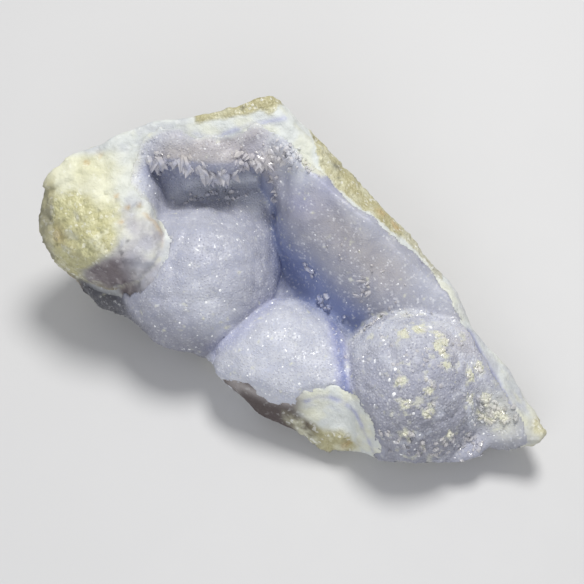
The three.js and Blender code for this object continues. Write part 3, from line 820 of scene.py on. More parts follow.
def block_colour(p, down, warp, look):
    """Colours of the block: cream top, yellow crystals at the left, a purple brown face below."""
    x, y, z = p[:, 0], p[:, 1], p[:, 2]
    band_top = np.interp(x, *np.array(BAND_TOP).T)
    band = rising(band_top + 1.2 * warp - z, -0.9, 1.6) * rising(9 - y, 0, 2) * rising(x, -43.5, -40)
    strip = rising(-x - 47 - 0.11 * (17.2 - y) + 0.3 * warp, -0.3, 0.4)
    strip = strip * rising(y, 6, 9) * rising(21 - y, 0, 5)
    zone = rising(-edge_distance(x, y, YELLOW_ZONE) + 2.6 * rough(p, 4.5, 56), -2.2, 2.2)
    crystal = zone * (1 - band) * (1 - strip)
    chips = spots(p, BLOCK_CHIPS, 3.2)
    yellowish = rising(spots(p, BLOCK_YELLOW, 3.5) + 0.4 * rough(p, 3.5, 52), 0.4, 0.9)
    rust = rising(spots(p, BLOCK_RUST, 1.2) + 0.5 * rough(p, 0.9, 55), 0.45, 1.0)
    tone = layered(p, look, "cream", [
        ("white_blue", 0.6 * rising(rough(p, 6, 51), -0.2, 0.7)),
        ("white_blue", 0.7 * rising(x, -37, -33) * rising(y, 9, 13)),
        ("yellow", 0.35 * yellowish),
        ("lavender", 0.85 * chips * rising(rough(p, 2.4, 53), -0.6, 0.3)),
        ("shade", 0.35 * chips * rising(rough(p, 1.6, 59), 0.2, 0.7)),
        ("warm", 0.45 * chips),
        ("lavender", 0.5 * rising(x, -37, -33) * rising(17 - y, 0, 5) * rising(rough(p, 3, 60), 0, 0.6)),
        ("orange", 0.6 * rust),
        ("orange", 0.8 * spots(p, BLOCK_RUST_DOTS, 0.42)),
        ("orange", 0.5 * near(p, BLOCK_EDGE, 0.6) * rising(waver(p, 2.2, 54), -0.4, 0.5)),
        ("olive", 0.4 * near(p, CRACK, 0.5)),
        ("yellow", 0.9 * crystal),
        ("olive", 0.5 * crystal * rising(rough(p, 2.0, 57), 0.0, 0.7)),
        ("cream", 0.65 * crystal * rising(rough(p, 1.5, 62), 0.25, 0.8)),
        ("orange", 0.4 * crystal * spots(p, CRYSTAL_RUST, 2)),
        ("lavender", 0.85 * band),
        ("purple", 0.9 * band * rising(-x + 0.8 * warp + 0.45 * (19 - z), 25.5, 34)),
        ("warm", 0.4 * band * rising(rough(p, 2.2, 58), 0.1, 0.7)),
        ("cream", 0.5 * band * near(p, BAND_EDGE, 0.4)),
        ("olive", 0.9 * strip),
        # Painted shade on the narrow left face, low down
        ("dark", 0.5 * strip * rising(rough(p, 3, 63), -0.9, 0.1) * rising(29 - z, 0, 3)),
        # Painted shade on faces that look down
        ("shade", 0.6 * rising(down, 0.2, 0.5)),
    ])
    return tone, crystal


# Node trees written as plain sums

class Flow:
    """A number on its way through a node tree. Sums on it add Math nodes."""

    def __init__(self, web, socket):
        self.web = web
        self.socket = socket

    def math(self, operation, *values):
        return self.web.number("ShaderNodeMath", {"operation": operation}, dict(enumerate(values)))

    def __add__(self, other):
        return self.math("ADD", self, other)

    __radd__ = __add__

    def __sub__(self, other):
        return self.math("SUBTRACT", self, other)

    def __rsub__(self, other):
        return self.math("SUBTRACT", other, self)

    def __mul__(self, other):
        return self.math("MULTIPLY", self, other)

    __rmul__ = __mul__

    def __truediv__(self, other):
        return self.math("DIVIDE", self, other)

    def __rtruediv__(self, other):
        return self.math("DIVIDE", other, self)

    def least(self, other):
        return self.math("MINIMUM", self, other)

    def most(self, other):
        return self.math("MAXIMUM", self, other)

    def rise(self, low, high):
        """0 below low, 1 above high, smooth between."""
        return self.web.number(
            "ShaderNodeMapRange", {"interpolation_type": "SMOOTHSTEP"},
            {"Value": self, "From Min": low, "From Max": high}, "Result")


class Web:
    """Adds nodes to one tree."""

    def __init__(self, tree):
        self.tree = tree

    def node(self, kind, settings=None, values=None):
        made = self.tree.nodes.new(kind)
        for key, value in (settings or {}).items():
            setattr(made, key, value)
        for key, value in (values or {}).items():
            self.put(made, key, value)
        return made

    def put(self, node, key, value):
        """Leads a socket into an input of a node, or sets a plain value there."""
        if isinstance(value, Flow):
            value = value.socket
        if isinstance(value, bpy.types.NodeSocket):
            self.tree.links.new(value, node.inputs[key])
        else:
            node.inputs[key].default_value = value

    def number(self, kind, settings=None, values=None, output=0):
        return Flow(self, self.node(kind, settings, values).outputs[output])

    def mix(self, first, second, share):
        """One colour blended into another."""
        return self.node("ShaderNodeMix", {"data_type": "RGBA"}, {0: share, 6: first, 7: second}).outputs[2]

    def times(self, first, second):
        """One colour multiplied by another."""
        settings = {"data_type": "RGBA", "blend_type": "MULTIPLY"}
        return self.node("ShaderNodeMix", settings, {0: 1.0, 6: first, 7: second}).outputs[2]

    def vector(self, **parts):
        """A vector from its X, Y and Z."""
        return self.node("ShaderNodeCombineXYZ", None, parts).outputs[0]

    def random(self, kind, values):
        """A random value of its own for each point."""
        return self.node("FunctionNodeRandomValue", {"data_type": kind}, values).outputs["Value"]

    def kept(self, name, kind="FLOAT"):
        """A value that the mesh keeps for each of its points."""
        node = self.node("GeometryNodeInputNamedAttribute", {"data_type": kind}, {"Name": name})
        return node.outputs["Attribute"]

    def finished(self, geometry, material):
        """The end of a geometry tree: real meshes with their material."""
        real = self.node("GeometryNodeRealizeInstances", None, {"Geometry": geometry})
        values = {"Geometry": real.outputs[0], "Material": material}
        done = self.node("GeometryNodeSetMaterial", None, values)
        self.node("NodeGroupOutput", None, {"Mesh": done.outputs[0]})
        return self.tree

    def turn(self, first, second):
        """One rotation followed by another about its own axes."""
        values = {"Rotation": first, "Rotate By": second}
        return self.node("FunctionNodeRotateRotation", {"rotation_space": "LOCAL"}, values).outputs[0]

    def angles(self, vector):
        """A rotation from its angles about x, y and z."""
        return self.node("FunctionNodeEulerToRotation", None, {"Euler": vector}).outputs[0]


QUARTZ_IOR = 1.54


def rgba(tone):
    return (*tone[:3], 1)


def finish_of(name, uniform):
    """A new material with one shader, whose values that don't change over the surface are set here."""
    material = bpy.data.materials.new(name)
    material.use_nodes = True
    material.node_tree.nodes.clear()
    web = Web(material.node_tree)
    shader = web.node("ShaderNodeBsdfPrincipled", None, uniform)
    web.node("ShaderNodeOutputMaterial", None, {"Surface": shader.outputs["BSDF"]})
    place = web.node("ShaderNodeTexCoord").outputs["Object"]
    return material, web, shader, place


def attribute(web, name, output="Fac"):
    return web.node("ShaderNodeAttribute", {"attribute_name": name}).outputs[output]


def bump(web, shader, strength, depth, height):
    """Fine relief, its depth in metres."""
    made = web.node("ShaderNodeBump", None, {"Strength": strength, "Distance": depth, "Height": height})
    web.put(shader, "Normal", made.outputs["Normal"])


def noise(web, place, size_mm, detail=2.0):
    scale = 1 / (size_mm * MM)
    return web.number("ShaderNodeTexNoise", None, {"Vector": place, "Scale": scale, "Detail": detail}, "Fac")


def specks(web, place, size_mm, output="Color"):
    """Small cells, each with its own random number, or the distance to the cell's middle."""
    node = web.node("ShaderNodeTexVoronoi", None, {"Vector": place, "Scale": 1 / (size_mm * MM)})
    if output == "Distance":
        return Flow(web, node.outputs["Distance"])
    return web.number("ShaderNodeSeparateColor", None, {"Color": node.outputs["Color"]})


def druse_finish(look):
    """Sugary lavender crust: faint clouds, and specks made whiter and glossier as painted glints for a fine
    sparkle.
    """
    material, web, shader, place = finish_of("lavender druse", {
        "IOR": QUARTZ_IOR, "Specular IOR Level": 0.4, "Subsurface Weight": 0.3,
        "Subsurface Radius": (0.9, 0.95, 1.2), "Subsurface Scale": 0.0014})
    cloud = noise(web, place, 3.0, 3.0)
    # Painted glints: specks mixed towards white
    glint_white = specks(web, place, 0.42).rise(0.86, 0.97)
    tint = attribute(web, "tint", "Color")
    deeper = web.times(tint, (0.9, 0.91, 0.95, 1))
    base = web.mix(deeper, tint, cloud.rise(0.35, 0.62))
    web.put(shader, "Base Color", web.mix(base, rgba(look.glint_white), glint_white * 0.3))
    web.put(shader, "Roughness", 0.5 - glint_white * 0.3 - cloud * 0.1)
    height = noise(web, place, 0.5, 3.0) * 0.6 + specks(web, place, 0.34, "Distance") * 0.8
    bump(web, shader, 0.45, 0.00014, height)
    return material


def grain_finish(look):
    """Tiny quartz pyramids: the crust's colour, with a few faces among them painted near white as glints."""
    material, web, shader, place = finish_of("quartz grains", {"IOR": QUARTZ_IOR, "Specular IOR Level": 0.4})
    glint = Flow(web, attribute(web, "glint"))
    # Painted glints: a few grains near white and glossier, and fine white flecks
    bright = glint.rise(0.965, 0.985)
    tint = web.times(attribute(web, "tint", "Color"), (0.88, 0.88, 0.9, 1))
    base = web.mix(tint, rgba(look.glint_white), glint * 0.1 + bright * 0.85)
    fleck = specks(web, place, 0.25)
    web.put(shader, "Base Color", web.mix(base, rgba(look.glint_white), fleck.rise(0.9, 1.0) * 0.2))
    web.put(shader, "Roughness", 0.5 + fleck * 0.1 - bright * 0.4)
    bump(web, shader, 0.2, 0.00004, noise(web, place, 0.2, 2.0))
    return material


def quartz_finish(look):
    """Larger quartz points, clear to milky, with faint growth lines."""
    material, web, shader, place = finish_of("clear quartz", {"IOR": QUARTZ_IOR, "Transmission Weight": 0.2})
    veil = noise(web, place, 1.4, 3.0)
    milky = 0.5 + veil.rise(0.4, 0.68) * 0.4
    web.put(shader, "Base Color", web.mix(rgba(look.quartz), attribute(web, "tint", "Color"), milky))
    web.put(shader, "Roughness", 0.06 + veil.rise(0.45, 0.75) * 0.3)
    lines = web.number("ShaderNodeTexWave", {"bands_direction": "Z"}, {
        "Vector": place, "Scale": 1 / (1.1 * MM), "Distortion": 4.0, "Detail": 2.0}, "Fac")
    bump(web, shader, 0.2, 0.00004, lines)
    return material


def stone_finish(look):
    """Broken chalcedony and rind: waxy where it is fine, granular and glassy where it is coarse."""
    material, web, shader, place = finish_of("broken chalcedony", {
        "IOR": QUARTZ_IOR, "Subsurface Weight": 0.1,
        "Subsurface Radius": (1.0, 0.95, 0.9), "Subsurface Scale": 0.0012})
    grit = Flow(web, attribute(web, "grit"))
    glass = Flow(web, attribute(web, "glass"))
    tint = attribute(web, "tint", "Color")
    grains = specks(web, place, 0.55)
    cloud = noise(web, place, 2.2, 4.0)
    darker = web.times(tint, (0.66, 0.63, 0.55, 1))
    between = grit * (0.75 - grains).rise(0.0, 0.6) * 0.6
    base = web.mix(tint, darker, between + (0.5 - cloud).rise(0.0, 0.25) * 0.25)
    # Painted glints: some grains mixed towards white, more where the stone is gritty
    bright = grains.rise(0.88, 0.98) * (0.08 + grit * 0.5)
    web.put(shader, "Base Color", web.mix(base, rgba(look.glint_white), bright))
    roughness = 0.62 - glass * 0.28 - grains.rise(0.8, 1.0) * grit * 0.2
    web.put(shader, "Roughness", roughness + (cloud - 0.5) * 0.3)
    fold = noise(web, place, 5.0, 3.0) - 0.5
    creases = fold.most(0 - fold).rise(0.0, 0.12)
    height = noise(web, place, 0.9, 4.0) * (0.5 + grit) + specks(web, place, 0.6, "Distance") * grit
    height = height + noise(web, place, 0.25, 2.0) * 0.3 + creases * 0.3
    bump(web, shader, 0.9, 0.0003, height)
    return material


def floor_finish(look):
    material, web, shader, place = finish_of("pale floor", {"IOR": 1.4})
    darker = rgba([c * 0.96 for c in look.floor[:3]])
    web.put(shader, "Base Color", web.mix(rgba(look.floor), darker, noise(web, place, 60.0, 3.0)))
    web.put(shader, "Roughness", 0.55 + noise(web, place, 8.0) * 0.1)
    return material


# Repeated crystals

def socket_id(tree, name):
    """The identifier of a tree's named input."""
    sockets = [item for item in tree.interface.items_tree if item.item_type == "SOCKET"]
    return next(item.identifier for item in sockets if item.in_out == "INPUT" and item.name == name)


def new_tree(name, numbers):
    """A geometry tree with one mesh in, one mesh out, and named inputs."""
    tree = bpy.data.node_groups.new(name, "GeometryNodeTree")
    tree.interface.new_socket("Mesh", in_out="INPUT", socket_type="NodeSocketGeometry")
    for key, (kind, value) in numbers.items():
        made = tree.interface.new_socket(key, in_out="INPUT", socket_type=kind)
        if value is not None:
            made.default_value = value
    tree.interface.new_socket("Mesh", in_out="OUTPUT", socket_type="NodeSocketGeometry")
    return tree


def grains_tree():
    """Small six-sided pyramids, spread evenly over the lining and tilted each its own way."""
    tree = new_tree("quartz grains", {
        "Spacing": ("NodeSocketFloat", 0.0005),
        "Radius": ("NodeSocketFloat", 0.0004),
        "Height": ("NodeSocketFloat", 0.0005),
        "Tilt": ("NodeSocketFloat", 0.5),
        "Seed": ("NodeSocketInt", 1),
        "Region": ("NodeSocketString", ""),
        "Finish": ("NodeSocketMaterial", None),
    })
    web = Web(tree)
    given = web.node("NodeGroupInput").outputs
    cover = web.kept(given["Region"])
    coarse = web.kept("coarse")
    spread = web.node("GeometryNodeDistributePointsOnFaces", {"distribute_method": "POISSON"}, {
        "Mesh": given["Mesh"], "Distance Min": given["Spacing"], "Density Max": 9.0e6,
        "Density Factor": cover, "Seed": given["Seed"]})
    lean = web.random("FLOAT_VECTOR", {
        "Min": (-1, -1, -math.pi), "Max": (1, 1, math.pi), "Seed": given["Seed"]})
    tilt = web.vector(X=given["Tilt"], Y=given["Tilt"], Z=1.0)
    scaled = web.node("ShaderNodeVectorMath", {"operation": "MULTIPLY"}, {0: lean, 1: tilt}).outputs[0]
    turned = web.turn(spread.outputs["Rotation"], web.angles(scaled))
    size = web.random("FLOAT_VECTOR", {"Min": (0.6, 0.6, 0.5), "Max": (1.2, 1.2, 1.35), "Seed": 5})
    size = web.node("ShaderNodeVectorMath", {"operation": "SCALE"}, {0: size, "Scale": coarse}).outputs[0]
    cone = web.node("GeometryNodeMeshCone", {"fill_type": "NGON"}, {
        "Vertices": 6, "Radius Top": 0.0, "Radius Bottom": given["Radius"], "Depth": given["Height"]})
    sink = web.node("GeometryNodeTransform", None, {
        "Geometry": cone.outputs["Mesh"], "Translation": web.vector(Z=Flow(web, given["Height"]) * -0.3)})
    put = web.node("GeometryNodeInstanceOnPoints", None, {
        "Points": spread.outputs["Points"], "Instance": sink.outputs[0], "Rotation": turned, "Scale": size})
    mark = web.node("GeometryNodeStoreNamedAttribute", {"data_type": "FLOAT", "domain": "INSTANCE"}, {
        "Geometry": put.outputs[0], "Name": "glint", "Value": web.random("FLOAT", {"Seed": 9})})
    return web.finished(mark.outputs[0], given["Finish"])


def points_tree():
    """Six-sided quartz crystals with pointed ends, one at each place, along the aim that is kept there."""
    tree = new_tree("quartz points", {
        "Thickness": ("NodeSocketFloat", 0.001),
        "Tip": ("NodeSocketFloat", 0.45),
        "Seed": ("NodeSocketInt", 1),
        "Finish": ("NodeSocketMaterial", None),
    })
    web = Web(tree)
    given = web.node("NodeGroupInput").outputs
    cone = web.node("GeometryNodeMeshCone", {"fill_type": "NGON"}, {
        "Vertices": 6, "Side Segments": 8, "Radius Top": 0.0, "Radius Bottom": 1.0,
        "Depth": 1.0}).outputs["Mesh"]
    position = web.node("GeometryNodeInputPosition").outputs[0]
    split = web.node("ShaderNodeSeparateXYZ", None, {0: position}).outputs
    z = Flow(web, split["Z"])
    open_share = (1 - z).most(0.001)
    wide = (open_share / given["Tip"]).least(1.0) / open_share * (1 - 0.12 * z)
    slant = (1 - open_share / given["Tip"]).most(0.0) * 0.25
    moved_to = web.vector(X=Flow(web, split["X"]) * wide + slant, Y=Flow(web, split["Y"]) * wide, Z=z - 0.25)
    shaped = web.node("GeometryNodeSetPosition", None, {"Geometry": cone, "Position": moved_to}).outputs[0]
    aimed = web.node("FunctionNodeAlignRotationToVector", {"axis": "Z"}, {
        "Vector": web.kept("aim", "FLOAT_VECTOR")}).outputs[0]
    spin = web.random("FLOAT", {2: -math.pi, 3: math.pi, "Seed": given["Seed"]})
    turned = web.turn(aimed, web.angles(web.vector(Z=spin)))
    thick = Flow(web, web.kept("wide")) * given["Thickness"]
    tall = Flow(web, web.kept("long")) * given["Thickness"]
    put = web.node("GeometryNodeInstanceOnPoints", None, {
        "Points": given["Mesh"], "Instance": shaped, "Rotation": turned,
        "Scale": web.vector(X=thick, Y=thick * web.kept("flat"), Z=tall)})
    return web.finished(put.outputs[0], given["Finish"])


def grown(host, tree, name, **inputs):
    """The plain mesh that a tree makes on a host mesh, as a new piece."""
    modifier = host.modifiers.new(tree.name, "NODES")
    modifier.node_group = tree
    for key, value in inputs.items():
        modifier[socket_id(tree, key)] = value
    bpy.context.view_layer.update()
    graph = bpy.context.evaluated_depsgraph_get()
    data = bpy.data.meshes.new_from_object(host.evaluated_get(graph))
    host.modifiers.remove(modifier)
    data.name = name
    made = bpy.data.objects.new(name, data)
    bpy.context.scene.collection.objects.link(made)
    return made


# Clusters of points: line of places, number, aim, spread of the aim, thickness, length, scatter
FAN = (1.1, 0.3, 0.4)
POINTS = {
    "rim": [
        (LIP, 34, (0, -0.7, -0.7), FAN, (0.6, 0.95), (1.5, 2.5), 0.5),
        (moved(LIP, 0, 0.1, 1.0), 30, (0, -0.9, -0.3), FAN, (0.5, 0.8), (1.1, 1.8), 0.8),
        (moved(LIP, 0, 0.4, 2.4), 24, (0, -0.8, 0.2), 0.6, (0.3, 0.55), (0.5, 0.9), 1.2),
        ([(-27, 21, 30.2), (-26.2, 21, 30)], 8, (0, -0.7, -0.7), FAN, (0.85, 1.2), (2.8, 4.0), 0.5),
        ([(-22, 21.6, 30.4), (-20.5, 21.6, 30.4)], 10, (0, -0.75, -0.6), FAN, (0.85, 1.25), (2.8, 4.0), 0.6),
        ([(-18, 20.4, 28.8), (-15.5, 19.9, 28), (-12.6, 20.3, 28.8)], 26,
         (0, -0.7, -0.7), FAN, (0.85, 1.3), (2.6, 4.2), 1.0),
        ([(-6.6, 21.6, 30.4), (-4.4, 21.8, 30.8)], 10, (0.1, -0.7, -0.7), FAN, (0.85, 1.2), (2.6, 3.8), 0.6),
    ],
    "recess": [
        ([(-3.6, 21, 30), (-4.3, 19.5, 26), (-4.8, 17.5, 21)], 10,
         (-0.5, -0.6, 0.4), 0.9, (0.5, 0.95), (1.2, 2.4), 1.8),
        ([(-8, 20, 18), (-14, 20.5, 18), (-22, 19, 19)], 34,
         (0, -0.5, 0.8), 0.7, (0.35, 0.75), (0.8, 1.6), 1.6),
        ([(-28, 21.5, 29), (-26, 22, 25)], 8, (0.4, -0.8, 0.2), 0.7, (0.3, 0.5), (0.7, 1.2), 0.9),
        ([(-2.4, 21.5, 31.8), (0, 19.8, 31.7)], 12, (-0.3, -0.7, 0.6), 0.8, (0.6, 1.0), (1.0, 2.0), 1.4),
        ([(-3, 23, 33), (1, 21, 32.5), (4, 18, 31)], 26,
         (-0.2, -0.5, 0.8), 0.8, (0.3, 0.55), (0.4, 0.8), 1.6),
    ],
    "wall": [
        ([(2.6, 6.2, 17.5), (4, 4.4, 15.5)], 4, (0.2, -0.9, 0.4), 0.7, (0.45, 0.7), (1.4, 2.0), 0.9),
        ([(12.9, -1.7, 17.2), (15.8, -1.2, 19.4)], 5, (-0.6, -0.3, 0.5), 0.9, (0.35, 0.6), (1.6, 2.5), 0.8),
        ([(13.8, 0.2, 20.1), (16.4, -0.5, 20.2)], 4, (-0.7, -0.2, 0.5), 0.8, (0.3, 0.5), (1.6, 2.4), 0.8),
        ([(5.3, 0.5, 13), (7.5, -2.2, 13)], 8, (-0.2, -0.5, 0.8), 0.8, (0.35, 0.7), (0.9, 1.6), 0.7),
        ([(8, 8, 24), (18, 1, 21), (26, -5, 17)], 14, (-0.4, -0.6, 0.7), 0.9, (0.2, 0.4), (0.4, 0.8), 3.0),
    ],
    "lobe": [
        (LOBE_EDGE, 60, (-0.1, 0.1, 1), 0.8, (0.3, 0.5), (0.5, 0.9), 0.9),
        ([(8.6, -6.5, 13), (9, -11.5, 15), (10, -20.5, 15)], 18,
         (0, -0.2, 1), 0.8, (0.3, 0.55), (0.6, 1.0), 0.9),
        *[([place, place], 7, (0.1, -0.3, 1), 0.9, (0.38, 0.7), (0.6, 1.1), 1.0) for place in CREAM_SPOTS],
        ([(17, -29, 13), (23, -31, 12), (30, -31, 9), (35, -28.5, 8)], 44,
         (0, -0.8, 0.5), 0.8, (0.38, 0.75), (0.7, 1.3), 2.2),
        ([(14, -10, 17), (20, -16, 21), (28, -20, 20), (22, -22, 20.5)], 70,
         (0, -0.2, 1), 0.9, (0.35, 0.7), (0.4, 0.8), 6.0),
        ([(31.6, -30.5, 7), (33.5, -29.6, 7.4), (36.4, -28.8, 8)], 30,
         (0, -0.7, 0.6), 0.8, (0.4, 0.8), (0.7, 1.2), 1.6),
        ([(36.2, -23, 13.5), (39.3, -24.4, 11.3), (42.2, -25.8, 10.6)], 40,
         (-0.1, -0.6, 0.8), 0.9, (0.4, 0.8), (0.8, 1.5), 1.3),
    ],
}


def rooted_points(rows, seed):
    """Places on the stone for rows of points, with their aims, thicknesses and lengths."""
    rng = np.random.default_rng(seed)
    places, aims, wides, longs = [], [], [], []
    for line, count, aim, spread, wide, long, scatter in rows:
        line = np.array(line, float)
        steps = np.linalg.norm(np.diff(line, axis=0), axis=1)
        run = np.concatenate([[0], np.cumsum(steps)])
        t = (np.arange(count) + rng.uniform(0, 1, count)) / count * run[-1]
        at = np.stack([np.interp(t, run, line[:, i]) for i in range(3)], -1)
        places.append(at + rng.normal(0, scatter * 0.6, (count, 3)))
        aims.append(unit(aim) + rng.normal(0, 0.6, (count, 3)) * spread)
        wides.append(rng.uniform(*wide, count))
        longs.append(rng.uniform(*long, count))
    places, aims = np.concatenate(places), np.concatenate(aims)
    for _ in range(4):
        f, g = gradient(stone, places)
        places = places - g * (f / np.maximum((g * g).sum(-1), 0.1))[:, None]
    normal = outward(places)
    aims /= np.linalg.norm(aims, axis=-1, keepdims=True)
    lift = (aims * normal).sum(-1)
    aims = aims + normal * np.maximum(0.35 - lift, 0)[:, None]
    aims /= np.linalg.norm(aims, axis=-1, keepdims=True)
    flat = rng.uniform(0.45, 0.9, len(places))
    return places, aims, np.concatenate(wides), np.concatenate(longs), flat


# Settings, operators and panel

def length(name, text, default, low=0.0001, high=0.05):
    return bpy.props.FloatProperty(
        name=name, description=text, default=default, unit="LENGTH", precision=5, min=low, max=high)


def colour(name, text, default):
    return bpy.props.FloatVectorProperty(
        name=name, description=text, default=default, subtype="COLOR", size=3, min=0.0, max=1.0)


class StoneSizes(bpy.types.PropertyGroup):
    stone_step: length("Stone step", "Size of one face of the broken stone", 0.0006)
    lining_step: length("Lining step", "Size of one face of the crystal lining", 0.00042)
    lining_depth: length("Lining depth", "Thickness of the crystal lining", 0.0016)
    grain_spacing: length("Grain spacing", "Smallest distance between two grains", 0.0004)
    grain_radius: length("Grain radius", "Radius of a grain at its foot", 0.00032)
    grain_height: length("Grain height", "Height of a grain", 0.00042)
    point_scale: length("Point scale", "Length of a point whose length is given as one", 0.001)
    floor_size: length("Floor size", "Length of the square floor", 2.4, 0.5, 10)


class StoneColours(bpy.types.PropertyGroup):
    lavender: colour("Lavender", "Crystal lining on the lobes", (0.40, 0.41, 0.49))
    # Painted shade, laid on the lining and the stone where shade falls
    shade: colour("Shaded lavender", "Lower sides of the lobes", (0.22, 0.22, 0.26))
    # Also painted light on the upper sides of the lobes and at the shadowed bottom of the recess
    pale: colour("Pale", "Palest part of the lining", (0.63, 0.65, 0.72))
    slate: colour("Slate", "Back of the recess", (0.36, 0.38, 0.50))
    # Partly the lining's own deep blue, partly painted shade in valleys, creases and low on the wall
    deep: colour("Deep blue", "Lining in the valleys", (0.20, 0.24, 0.42))
    violet: colour("Violet", "Bands and creases", (0.33, 0.35, 0.58))
    # Pink brown made very dark as painted shade, for the break under the middle lobe
    shaded_pink: colour("Pink brown", "Break under the middle lobe", (0.06, 0.04, 0.041))
    warm: colour("Warm grey", "Lining at the lip, and the sheen on the wall", (0.47, 0.44, 0.44))
    white_blue: colour("Blue white", "Chalcedony layers under the lining", (0.66, 0.69, 0.68))
    cream: colour("Cream", "Broken top of the block, and pale crystals", (0.74, 0.74, 0.58))
    yellow: colour("Yellow", "Crystalline side of the block", (0.55, 0.53, 0.29))
    olive: colour("Olive", "Granular rind", (0.47, 0.44, 0.26))
    orange: colour("Orange", "Iron stains", (0.55, 0.36, 0.14))
    purple: colour("Purple brown", "Lower face of the block", (0.14, 0.11, 0.12))
    # Dark specks, and also painted shadow under the block and painted shade in a corner and on the block's
    # left face
    dark: colour("Dark", "Dark specks", (0.08, 0.08, 0.09))
    # White of the painted glints on crystal faces
    glint_white: colour("Frost", "Bright crystal faces", (0.92, 0.93, 0.95))
    quartz: colour("Quartz", "Clear points", (0.78, 0.74, 0.7))
    floor: colour("Floor", "Pale floor", (0.62, 0.62, 0.63))


def dress(piece, finish):
    piece.data.materials.clear()
    piece.data.materials.append(finish)
    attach(piece, "root")


def material_once(name, make, look):
    return bpy.data.materials.get(name) or make(look)


def stone_relief(p, on_block, crystal, rind):
    """Height of the broken faces, cracks and grooves outside the lining."""
    height = 0.22 * rough(p, 4.5, 71) + 0.12 * rough(p, 1.7, 74)
    height = height + crystal * (0.75 * broken_faces(p, 2.0, 81) - 0.1)
    height = height + rind * 0.4 * broken_faces(p, 1.8, 91)
    flakes = 0.8 * broken_faces(p, 4.4, 96) + 0.2 * broken_faces(p, 1.9, 97)
    height = height + on_block * (1 - crystal) * flakes
    return height - 0.4 * near(p, CRACK, 0.6) - 0.35 * near(p, GROOVE, 0.7)


# Lowest and highest corners of the grids on which the two skins are made
STONE_GRID = ((-54, -36, -1.2), (53, 36, 41))
LINING_GRID = ((-44, -36, 1.5), (51, 30, 41))


class ChalcedonyStone(bpy.types.Operator):
    """Builds the broken stone: block, rim, wall, lobes, sides and flat underside"""
    bl_idname = "chalcedony.stone"
    bl_label = "Stone"

    def execute(self, context):
        sizes, look = context.scene.stone_sizes, context.scene.stone_colours
        points, faces = skin(stone_under_lining, sizes.stone_step / MM, *STONE_GRID)
        faces = largest_part(faces, len(points))
        points, faces = packed(points, faces)
        normal = outward(points)
        z = points[:, 2]
        tint, grit, glass, on_block, crystal, rind = stone_colour(points, normal, look)
        covered = rising(-lining_edge(points), -0.2, 0.6) * rising(z, LINING_FLOOR, LINING_FLOOR + 1.5)
        height = stone_relief(points, on_block, crystal, rind) * (1 - covered) * rising(z, 0, 1.5)
        points = in_box(points + normal * height[:, None])
        piece = mesh_object("chalcedony_stone", points, faces, tint=tint, grit=grit, glass=glass)
        smooth(piece)
        dress(piece, material_once("broken chalcedony", stone_finish, look))
        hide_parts("chalcedony")
        return {"FINISHED"}


def lining_height(p):
    """Rounded lumps on the lining, larger on the lobes than on the wall."""
    on_wall = rising(-wall(p) + 1.2, 0, 1) * rising(right_lobe(p), 0.3, 2) * rising(middle_lobe(p), 0.3, 2)
    on_right = rising(-right_lobe(p) + 1, 0, 1)
    lumps = 2.1 * domes(p, 5.2, 101) + 1.0 * domes(p, 2.6, 105)
    coarse = 1.9 * domes(p, 3.6, 111) + 0.7 * domes(p, 1.7, 115) + 0.2 * broken_faces(p, 1.4, 116)
    calm = 0.3 * waver(p, 7, 121) + 0.2 * rough(p, 3.0, 122, 2)
    h = lumps + (coarse - lumps) * on_right
    return h + (calm - h) * on_wall, on_wall, on_right


class CrystalLining(bpy.types.Operator):
    """Builds the crystal lining of the hollow as one closed shell with rounded lumps"""
    bl_idname = "chalcedony.lining"
    bl_label = "Crystal lining"

    def execute(self, context):
        sizes, look = context.scene.stone_sizes, context.scene.stone_colours
        points, faces = skin(stone, sizes.lining_step / MM, *LINING_GRID)
        middle = points[faces].mean(1)
        faces = faces[(lining_edge(middle) < 0) & (middle[:, 2] > LINING_FLOOR)]
        faces = trimmed(points, faces)
        points, faces = packed(points, faces)
        normal = outward(points)
        facing = normal[:, 2] > -0.75
        height, on_wall, on_right = lining_height(points)
        inward = rising(-lining_edge(points), 0.1, 1.2)
        top = in_box(points + normal * (height * inward * 0.8)[:, None])
        bottom = in_box(points - normal * (sizes.lining_depth / MM))
        tint = lining_colour(points, look)
        count = len(points)
        ring = open_edges(faces)
        walls = np.stack([ring[:, 1], ring[:, 0], ring[:, 0] + count, ring[:, 1] + count], -1)
        faces = np.concatenate([faces, faces[:, ::-1] + count, walls])
        coarse = 1.0 - 0.35 * on_wall + 0.35 * on_right
        cover = inward * facing
        both = np.concatenate
        x, y = points[:, 0], points[:, 1]
        nothing = np.zeros(count)
        left = cover * ((x < -3.5) & (y > -7 - 0.9 * (x + 6)))
        right = cover * ((x > 9.5) & (right_lobe(points) < 1.0))
        far = cover * (on_wall > 0.5) * (left == 0) * (right == 0)
        middle = cover * (left == 0) * (right == 0) * (far == 0)
        regions = {"left": left, "middle": middle, "right": right, "wall": far}
        piece = mesh_object(
            "druse_bed", both([top, bottom]), faces, tint=both([tint, tint]), coarse=both([coarse, coarse]),
            **{region: both([share, nothing]) for region, share in regions.items()})
        smooth(piece)
        dress(piece, material_once("lavender druse", druse_finish, look))
        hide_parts("druse_crust")
        return {"FINISHED"}


# Parts of the lining with grains: their spacing and height against the settings, and the seed
GRAINS = {"left": (1.35, 0.36, 3), "middle": (1.35, 0.36, 4), "wall": (2.3, 0.3, 5), "right": (1.4, 0.36, 6)}
GRAIN_TILT = 0.22
POINT_TIP = 0.45
POINT_BRIGHTNESS = 1.25


